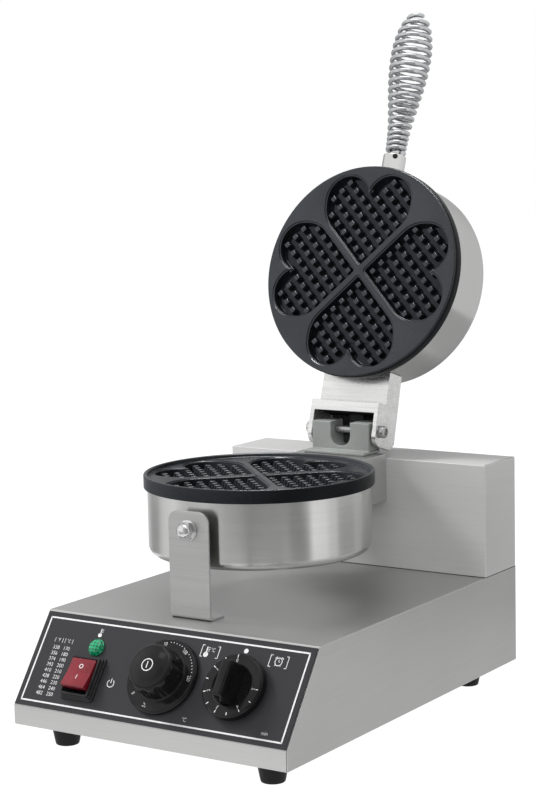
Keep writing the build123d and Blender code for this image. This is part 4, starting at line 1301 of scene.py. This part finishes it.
def panel_print():
    """The panel's frame, temperature scale, headings and marks."""
    half_width, low, high = 119.0, 4.8, 73.6
    top_row, row_height = 49.6, 4.72
    corners = [(-half_width, low), (half_width, low), (half_width, high), (-half_width, high)]
    shapes = [bar(*a, *b, 1.25, *PRINT) for a, b in zip(corners, corners[1:] + corners[:1])]
    shapes += [hoop(x, y, 0.31, 0.62, *PRINT, 16) for x, y in corners]
    for words, x in (("°F", -104.2), ("°C", -94.6)):
        shapes.append(lettered(words, 3.9, x, 55.8, *PRINT, squeeze=0.8))
        shapes += [bar(x + side, 53.9, x + side, 57.7, 0.35, *PRINT) for side in (-3.6, 3.6)]
    for row in range(9):
        celsius = 170 + 10 * row
        for number, x in ((round(celsius * 1.8 + 32), -104.4), (celsius, -94.4)):
            shapes.append(lettered(str(number), 4.3, x, top_row - row_height * row, *PRINT))
    shapes += bracketed(35.0, 64.2) + thermometer(31.8, 64.2, 8.0)
    shapes.append(lettered("°C", 4.4, 37.2, 65.4, *PRINT, squeeze=0.8))
    shapes += bracketed(95.3, 64.1) + clock(95.3, 63.9, 3.0)
    dot = lathe([(0, 0.82), (1.9, 0.82), (1.9, 0.9), (0, 0.9)], 24)
    shapes.append(moved(dot, Matrix.Translation((65.5, 68.5, 0))))
    shapes.append(hoop(-42.5, 28.0, 3.0, 0.6, *PRINT, 28, 125, 415))
    shapes.append(bar(-42.5, 28.2, -42.5, 32.0, 0.6, *PRINT))
    shapes += thermometer(-68.0, 66.6, 6.6)
    for words, x in (("°C", 32.5), ("min", 103.0)):
        shapes.append(lettered(words, 4.6, x, 9.6, *PRINT, squeeze=0.85))
    return shapes


class WAFFLE_OT_panel(bpy.types.Operator):
    """Make the control overlay with its printed lines and marks, and the lamp"""

    bl_idname = "waffle.panel"
    bl_label = "Control panel"

    def execute(self, context):
        softened("control_panel", "control_overlay", "base", "panel_overlay", 0.2)
        solid("panel_print", panel_print(), PANEL, "base", "printed_ink", None, 30)
        lens = [(0, -13.9), (5.7, -13.9), (5.7, 0.82), (6.95, 0.82, 0.2), (6.95, 1.9, 0.4), (6.1, 2.5, 0.3)]
        lens += arc(0, 2.6, 6.0, 2.9, 10, 80, 7) + [(0, 5.5)]
        shape = lathe(rounded(lens, 3), 48)
        solid("green_lamp", [shape], LAMP, "base", "lamp_lens", "indicator_lamp", 40)
        return {"FINISHED"}


class WAFFLE_OT_switch(bpy.types.Operator):
    """Make the rocker switch: the stepped frame and the red key with its marks"""

    bl_idname = "waffle.switch"
    bl_label = "Rocker switch"

    def execute(self, context):
        softened("rocker_housing", "switch_frame", "base", "switch_plastic", 0.45)
        place = shifted(SWITCH, 0, 0, 1.5) @ turned_round(-9.3, "X")
        self.key(place)
        self.marks(place)
        return {"FINISHED"}

    def key(self, place):
        """The red key with its rounded edges and its pivot pins."""
        side = [(-12.1, 8.7), (-6.0, 8.25), (0, 7.75), (6.0, 8.25), (12.1, 8.7), (12.15, 4.0)]
        side += [(5.0, -6.9), (-5.0, -6.9), (-12.15, 4.0)]
        on_edge = Matrix(((0, 0, 1, 0), (1, 0, 0, 0), (0, 1, 0, 0), (0, 0, 0, 1)))
        mesh = joined("red_rocker", [moved(slab(side, -11.2, 11.2), on_edge)])
        with edited(mesh) as work:
            bmesh.ops.recalc_face_normals(work, faces=work.faces)
            sharp = [e for e in work.edges if e.calc_face_angle(0) > math.radians(25)]
            sharp = [e for e in sharp if max(v.co.z for v in e.verts) > 5]
            bmesh.ops.bevel(work, geom=sharp, offset=0.8, segments=4, affect="EDGES", profile=0.5)
        pins = lathe([(0, -12.2), (1.45, -12.2), (1.45, 12.2), (0, 12.2)], 24)
        add_mesh(mesh, joined("pins", [moved(pins, turned_round(90, "Y"))]))
        shade(mesh, 40)
        settle(piece("red_rocker", mesh, place), "rocker", "rocker_plastic", "power_rocker")

    def marks(self, place):
        """The two marks, which lie on the key's two slopes."""
        middle, rise, reach = 7.75, 0.95, 12.1
        marks = []
        for shape, y in (
            (hoop(0, 0, 1.55, 0.62, -0.05, 0.09, 28), 5.6),
            (bar(0, -1.7, 0, 1.7, 0.62, -0.05, 0.09), -3.6),
        ):
            lean = Matrix.Rotation(math.copysign(math.atan2(rise, reach), y), 4, "X")
            marks.append(moved(shape, Matrix.Translation((0, y, middle + abs(y) * rise / reach)) @ lean))
        solid("rocker_marks", marks, place, "rocker", "printed_ink", None)


def grip_height(radius):
    """Height of the temperature knob's crown at a radius."""
    return 25.55 - 0.0095 * radius * radius


def press_flutes(verts):
    """Presses ten flutes into the side of the temperature knob's grip."""
    foot, half_width, depth = 5.9, 10.5, 1.25
    for v in verts:
        reach = v.xy.length
        if CROWN_RADIUS - 1e-4 < reach < 20.4 and v.z > foot:
            off = math.degrees(math.atan2(v.y, v.x)) % 36 - 18
            share = max(0.0, 1 - (off / half_width) ** 2)
            fade = min(1.0, max(0.0, (22.4 - v.z) / 3.0)) * min(1.0, (v.z - foot) / 1.2)
            v.xy *= (reach - depth * share * fade) / reach


def dial_word(words, size, radius, angle, height, squeeze):
    """Lettering that faces out from a dial's middle, at an angle in degrees."""
    return lettered(words, size, *polar(radius, angle), height, height + 0.1, angle - 90, squeeze)


class WAFFLE_OT_knobs(bpy.types.Operator):
    """Make the fluted temperature knob and the timer knob with their numbers and marks"""

    bl_idname = "waffle.knobs"
    bl_label = "Knobs"

    def execute(self, context):
        self.temperature_knob()
        self.temperature_print()
        self.timer_knob()
        self.timer_print()
        return {"FINISHED"}

    def temperature_knob(self):
        skirt = [(0, 1.35), (29.9, 1.35, 0.6), (29.9, 3.6, 1.2), (28.6, 5.1, 1.0), (20.6, 5.15, 0.6)]
        skirt += [(19.75, 6.0, 0.5), (19.3, 18.2)]
        profile = rounded(skirt, 4) + arc(CROWN_RADIUS, 18.2, 4.0, 4.6, 11.25, 90, 7)
        rise = 22.8 - grip_height(CROWN_RADIUS)
        for radius in (13.0, 10.0, 6.5, 3.0, 0):
            profile.append((radius, grip_height(radius) + rise * (radius / CROWN_RADIUS) ** 3))
        shape = lathe(profile, 160)
        press_flutes(shape[0])
        body, slot = "temperature_dial", "knob_black"
        solid("temperature_dial_knob", [shape], DIAL, body, "knob_plastic", "temperature_knob", 40)

    def temperature_print(self):
        words = (("50", 4.1, 102), ("150", 4.1, 56), ("250", 4.1, 2), ("0", 4.1, 222), ("°C", 4.3, 258))
        word_ring, dot_ring, dot, skirt_top = 24.9, 26.4, 0.62, 5.1
        shapes = [dial_word(word, size, word_ring, angle, skirt_top, 0.8) for word, size, angle in words]
        for verts, faces in (hoop(0, 0, 4.6, 0.75, 0, 1, 40), bar(0, -2.6, 0, 2.6, 0.8, 0, 1)):
            for v in verts:
                v.z = grip_height(v.xy.length) + (0.07 if v.z > 0 else -0.12)
            shapes.append((verts, faces))
        body, slot = "temperature_dial", "knob_black"
        solid("temperature_dial_print", shapes, DIAL, body, "printed_ink", None, 30)
        mesh = tick_generator(dot_ring, dot, dot, 6, 92.0, -6.0).grow("temperature_dial_dots")
        add_mesh(mesh, tick_generator(dot_ring, dot, dot, 7, 46.0, -5.6).grow("more_dots"))
        dots = piece("temperature_dial_dots", mesh, shifted(DIAL, 0, 0, skirt_top + 0.05))
        settle(dots, body, "printed_ink")

    def timer_knob(self):
        skirt = [(0, 1.35), (25.0, 1.35, 0.5), (25.05, 7.2, 0.8), (23.6, 8.75, 0.9), (16.4, 8.75, 0.9)]
        skirt += [(15.2, 7.6, 0.6), (14.6, 4.7, 0.8), (0, 4.65)]
        shapes = [lathe(rounded(skirt, 4), 112)]
        ribs = 14
        for i in range(ribs):
            angle = 360 / ribs * i
            shapes.append(bar(*polar(5.0, angle), *polar(14.7, angle), 0.8, 4.5, 5.6))
        mesh = joined("timer_dial_knob", shapes)
        close_mesh(mesh, 38)
        rings = []
        half_width, half_length, draft = 5.2, 15.3, math.tan(math.radians(4.0))
        sections = [(0, 1.3, z) for z in (4.4, 12.0, 20.0, 23.6)]
        for inset, corner, z in sections + [(0.25, 1.0, 24.35), (0.75, 1.0, 24.8), (1.5, 1.0, 24.95)]:
            inset += (z - 4.6) * draft
            rings.append(round_box(half_width - inset, half_length - inset, corner, z))
        grip = joined("grip", [lofted(rings, capped=True)])
        close_mesh(grip, 38)
        add_mesh(mesh, grip)
        knob = piece("timer_dial_knob", mesh, TIMER)
        settle(knob, "timer_dial", "knob_plastic", "timer_knob")

    def timer_print(self):
        first, step = 96.0, 26.2
        mesh = tick_generator(22.3, 2.2, 0.65, 11, first, step).grow("timer_dial_ticks")
        ticks = piece("timer_dial_ticks", mesh, shifted(TIMER, 0, 0, 8.78))
        settle(ticks, "timer_dial", "printed_ink")
        shapes = [dial_word(str(n), 4.0, 18.9, first + 2 * step * n, 8.72, 0.85) for n in range(6)]
        solid("timer_dial_numbers", shapes, TIMER, "timer_dial", "printed_ink", None, 30)


INNER_FINISHES = {
    "regulator_body": ("terminal_block", "thermostat_body", "timer_body"),
    "strip_steel": ("lower_heating_element", "upper_heating_element"),
    "mineral_pad": ("lower_insulation", "upper_insulation"),
    "bright_plating": (
        "support_bolts",
        "lid_bracket_bolts",
        "strip_bolt",
        "sensor_bulb",
        "handle_nut",
        "thermostat_spindle",
        "timer_spindle",
    ),
}


class WAFFLE_OT_inner_parts(bpy.types.Operator):
    """Give every solid that stays in use its own finish"""

    bl_idname = "waffle.inner_parts"
    bl_label = "Inner parts"

    def execute(self, context):
        for finish, nodes in INNER_FINISHES.items():
            for node in nodes:
                materials = frame["nodes"][node].data.materials
                materials.clear()
                materials.append(FINISHES[finish])
        return {"FINISHED"}


# -------- stage, in metres
MIDDLE = Vector((0, 0, 0.25))
PLATES = ("upper_baking_plate", "lower_baking_plate")

# What polished surfaces see round about: a brightness at each heading, in degrees.
LOW_GLOW = (
    ((-180, 0.45), (-176, 0.47), (-165, 0.9), (-146, 1.1), (-138, 0.7), (-130, 0.48), (-95, 0.68))
    + ((-76, 0.5), (-68, 0.36), (-33, 0.48), (-29, 0.34), (-16, 0.33), (-12, 0.5), (-7, 1.3), (7, 1.2))
    + ((13, 0.9), (20, 0.86), (24, 0.5), (30, 0.42), (44, 0.44), (50, 0.58), (75, 0.5), (92, 0.25))
    + ((110, 0.5), (150, 0.78), (170, 0.45), (180, 0.45))
)
HIGH_GLOW = (
    ((-180, 0.9), (-140, 1.2), (-108, 1.2), (-90, 0.6), (-66, 0.4), (-20, 0.4), (-8, 1.1), (20, 0.95))
    + ((80, 0.8), (100, 0.4), (135, 0.45), (180, 0.9))
)


def grey(level):
    return (level, level, level, 1)


def soft_light(name, place, width, height, watts, mirrored=False):
    """A rectangular light that faces the machine's middle. Gloss shows it only where it is mirrored."""
    data = bpy.data.lights.new(name, "AREA")
    data.shape = "RECTANGLE"
    data.size = width
    data.size_y = height
    data.energy = watts
    obj = put(name, data)
    obj.location = place
    obj.rotation_euler = (MIDDLE - Vector(place)).to_track_quat("-Z", "Y").to_euler()
    obj.visible_camera = False
    obj.visible_glossy = mirrored
    return obj


def light_plates(light, state):
    """Lets a light reach the two plates alone, or all but them."""
    group = bpy.data.collections.new(light.name + "_reach")
    for name in PLATES:
        group.objects.link(bpy.data.objects[name])
    for entry in group.collection_objects:
        entry.light_linking.link_state = state
    light.light_linking.receiver_collection = group


def painted(name, verts, faces):
    """An object of the stage, and the node tree of its material, still empty."""
    mesh = joined(name, [(verts, faces)])
    mesh.materials.append(new_material(name))
    return put(name, mesh), Graph(mesh.materials[0].node_tree)


def screen_object(name, verts, faces):
    """A mesh that only polished surfaces see. Gives the node tree and the node of its glow."""
    obj, graph = painted(name, verts, faces)
    obj.visible_camera = False
    obj.visible_diffuse = False
    obj.visible_shadow = False
    obj.visible_transmission = False
    glow = graph.glow(1.0)
    graph.end("ShaderNodeOutputMaterial", glow)
    return graph, glow


def light_ring(name, levels, *edges):
    """A round wall between two (radius, height) edges, whose brightness changes with direction."""
    graph, glow = screen_object(name, *lathe(edges, 72))
    here = graph.add("ShaderNodeTexCoord").outputs["Object"]
    heading = graph.add("ShaderNodeTexGradient", {"Vector": here}, gradient_type="RADIAL").outputs["Fac"]
    ramp = graph.add("ShaderNodeValToRGB", {"Fac": heading})
    stops = ramp.color_ramp.elements
    while len(stops) < len(levels):
        stops.new(0.5)
    for stop, (degrees, level) in zip(stops, levels):
        stop.position = (degrees + 180) / 360
        stop.color = grey(level)
    graph.feed(glow.inputs["Color"], ramp.outputs["Color"])


def rectangle(x0, x1, y0, y1, z):
    return [(x0, y0, z), (x1, y0, z), (x1, y1, z), (x0, y1, z)], [(0, 1, 2, 3)]


def flat_card(name, x0, x1, y0, y1, level, z=0.004):
    """A flat grey card, as a rule just over the floor."""
    graph, glow = screen_object(name, *rectangle(x0, x1, y0, y1, z))
    graph.feed(glow.inputs["Color"], grey(level))


def seen_rays(graph):
    """One for rays from the camera, a gloss or a clear piece, and nought for the rest."""
    path = graph.add("ShaderNodeLightPath").outputs
    total = graph.math("ADD", path["Is Camera Ray"], path["Is Glossy Ray"])
    total = graph.math("ADD", total, path["Is Transmission Ray"])
    return graph.math("MINIMUM", total, 1.0)


def blended(graph, share, first, second):
    return graph.add("ShaderNodeMixShader", {0: share, 1: first.outputs[0], 2: second.outputs[0]})


def white_room(scene, level):
    """A dim room that looks white where it is seen."""
    world = bpy.data.worlds.new("white_room")
    scene.world = world
    world.use_nodes = True
    graph = Graph(world.node_tree)
    room, white = (graph.add("ShaderNodeBackground", {"Color": grey(v), "Strength": 1.0}) for v in (level, 1))
    graph.end("ShaderNodeOutputWorld", blended(graph, seen_rays(graph), room, white))


def white_floor():
    """A floor that takes shadows and looks white where it is seen."""
    reach = 9
    floor, graph = painted("floor", *rectangle(-reach, reach, -reach, reach, 0))
    floor.location = (0, 0, -0.0002)
    paint = graph.add("ShaderNodeBsdfDiffuse", {"Color": grey(0.4)})
    share = graph.times(seen_rays(graph), 0.82)
    graph.end("ShaderNodeOutputMaterial", blended(graph, share, paint, graph.glow(1.25)))


def make_lights(sizes):
    """Two lights for all but the plates, two for the plates alone and one overhead for both."""
    key = soft_light("key_light", (-1.8, -0.45, 1.8), 0.55, 0.55, sizes.key_power)
    fill = soft_light("fill_light", (1.2, -1.9, 1.0), 1.2, 1.4, sizes.fill_power)
    moulds = soft_light("mould_light", (-1.4, -1.5, 1.6), 0.25, 0.25, sizes.mould_power)
    glint = soft_light("glint_light", (0.0, 0.1, 1.5), 0.6, 0.6, sizes.glint_power, mirrored=True)
    glint.visible_diffuse = False
    soft_light("top_light", (0.0, -0.2, 2.0), 1.4, 1.4, sizes.top_power, mirrored=True)
    for light, state in ((key, "EXCLUDE"), (fill, "EXCLUDE"), (moulds, "INCLUDE"), (glint, "INCLUDE")):
        light_plates(light, state)


def make_camera(scene, focal_length):
    """The camera, in front and to the right, looking a little down and leaning a little."""
    place = Vector((888.5, -1352.7, 464.6)) * MM
    heading, pitch, roll = math.radians(33.31), math.radians(7.05), math.radians(-1.17)
    flat = Vector((-math.sin(heading), math.cos(heading), 0))
    ahead = math.cos(pitch) * flat - math.sin(pitch) * Vector((0, 0, 1))
    right = Vector((math.cos(heading), math.sin(heading), 0))
    down = ahead.cross(right)
    across = math.cos(roll) * right - math.sin(roll) * down
    downward = math.sin(roll) * right + math.cos(roll) * down
    matrix = Matrix((across, -downward, -ahead)).transposed().to_4x4()
    matrix.translation = place
    lens = bpy.data.cameras.new("camera")
    lens.sensor_width = 36
    lens.sensor_fit = "AUTO"
    lens.lens = focal_length
    lens.shift_x = -0.0039
    lens.shift_y = -0.015
    lens.clip_start = 0.05
    lens.clip_end = 60
    camera = put("camera", lens)
    camera.matrix_world = matrix
    scene.camera = camera


class WAFFLE_OT_stage(bpy.types.Operator):
    """Make the white floor and room, the soft lights and the camera"""

    bl_idname = "waffle.stage"
    bl_label = "Stage"

    def execute(self, context):
        scene = context.scene
        sizes = scene.waffle_studio
        scene.view_settings.view_transform = "Standard"
        white_room(scene, sizes.room_level)
        white_floor()
        make_lights(sizes)
        foot, shoulder, top = (0.42, 0.003), (0.62, 0.13), (0.62, 0.62)
        light_ring("low_ring", LOW_GLOW, foot, shoulder)
        light_ring("high_ring", HIGH_GLOW, shoulder, top)
        # Painted reflections: cards that only polished surfaces see. The two on the floor make the mirrored
        # floor darker behind and to the right of the machine, and the gap card gives the base's top a grey
        # glow under the lower drum to mirror.
        flat_card("rear_floor_card", -0.5, 0.13, 0.2, 0.6, 0.45)
        flat_card("right_floor_card", 0.13, 0.5, -0.16, 0.62, 0.74)
        flat_card("gap_card", -0.065, 0.055, -0.07, 0.05, 0.47, 0.128)
        make_camera(scene, sizes.lens)
        return {"FINISHED"}


# -------- sidebar, registration and the run
OPERATORS = (
    WAFFLE_OT_housings,
    WAFFLE_OT_gland,
    WAFFLE_OT_plates,
    WAFFLE_OT_drums,
    WAFFLE_OT_supports,
    WAFFLE_OT_hinge,
    WAFFLE_OT_handle,
    WAFFLE_OT_panel,
    WAFFLE_OT_switch,
    WAFFLE_OT_knobs,
    WAFFLE_OT_inner_parts,
    WAFFLE_OT_stage,
)


class WAFFLE_PT_sidebar(bpy.types.Panel):
    """The steps that dress the waffle maker, with their sizes and colours"""

    bl_idname = "WAFFLE_PT_sidebar"
    bl_label = "Waffle Maker"
    bl_space_type = "VIEW_3D"
    bl_region_type = "UI"
    bl_category = "Waffle Maker"

    def draw(self, context):
        layout = self.layout
        for group in GROUPS:
            box = layout.box()
            values = getattr(context.scene, group)
            for name in values.bl_rna.properties.keys():
                if name not in ("rna_type", "name"):
                    box.prop(values, name)
        for operator in OPERATORS:
            layout.operator(operator.bl_idname)


def register():
    for group in GROUPS.values():
        bpy.utils.register_class(group)
    for operator in OPERATORS:
        bpy.utils.register_class(operator)
    bpy.utils.register_class(WAFFLE_PT_sidebar)
    for name, group in GROUPS.items():
        setattr(bpy.types.Scene, name, PointerProperty(type=group))


def unregister():
    for name in GROUPS:
        delattr(bpy.types.Scene, name)
    bpy.utils.unregister_class(WAFFLE_PT_sidebar)
    for operator in reversed(OPERATORS):
        bpy.utils.unregister_class(operator)
    for group in reversed(GROUPS.values()):
        bpy.utils.unregister_class(group)


def main():
    register()
    scene = bpy.context.scene
    metal_finishes(scene.waffle_steel)
    plate_coating(scene.waffle_plates.coating)
    control_finishes(scene.waffle_controls)
    other_finishes()
    for operator in OPERATORS:
        family, name = operator.bl_idname.split(".")
        result = getattr(getattr(bpy.ops, family), name)()
        if "FINISHED" not in result:
            raise RuntimeError(operator.bl_label + " could not be made")


if __name__ == "__main__":
    main()
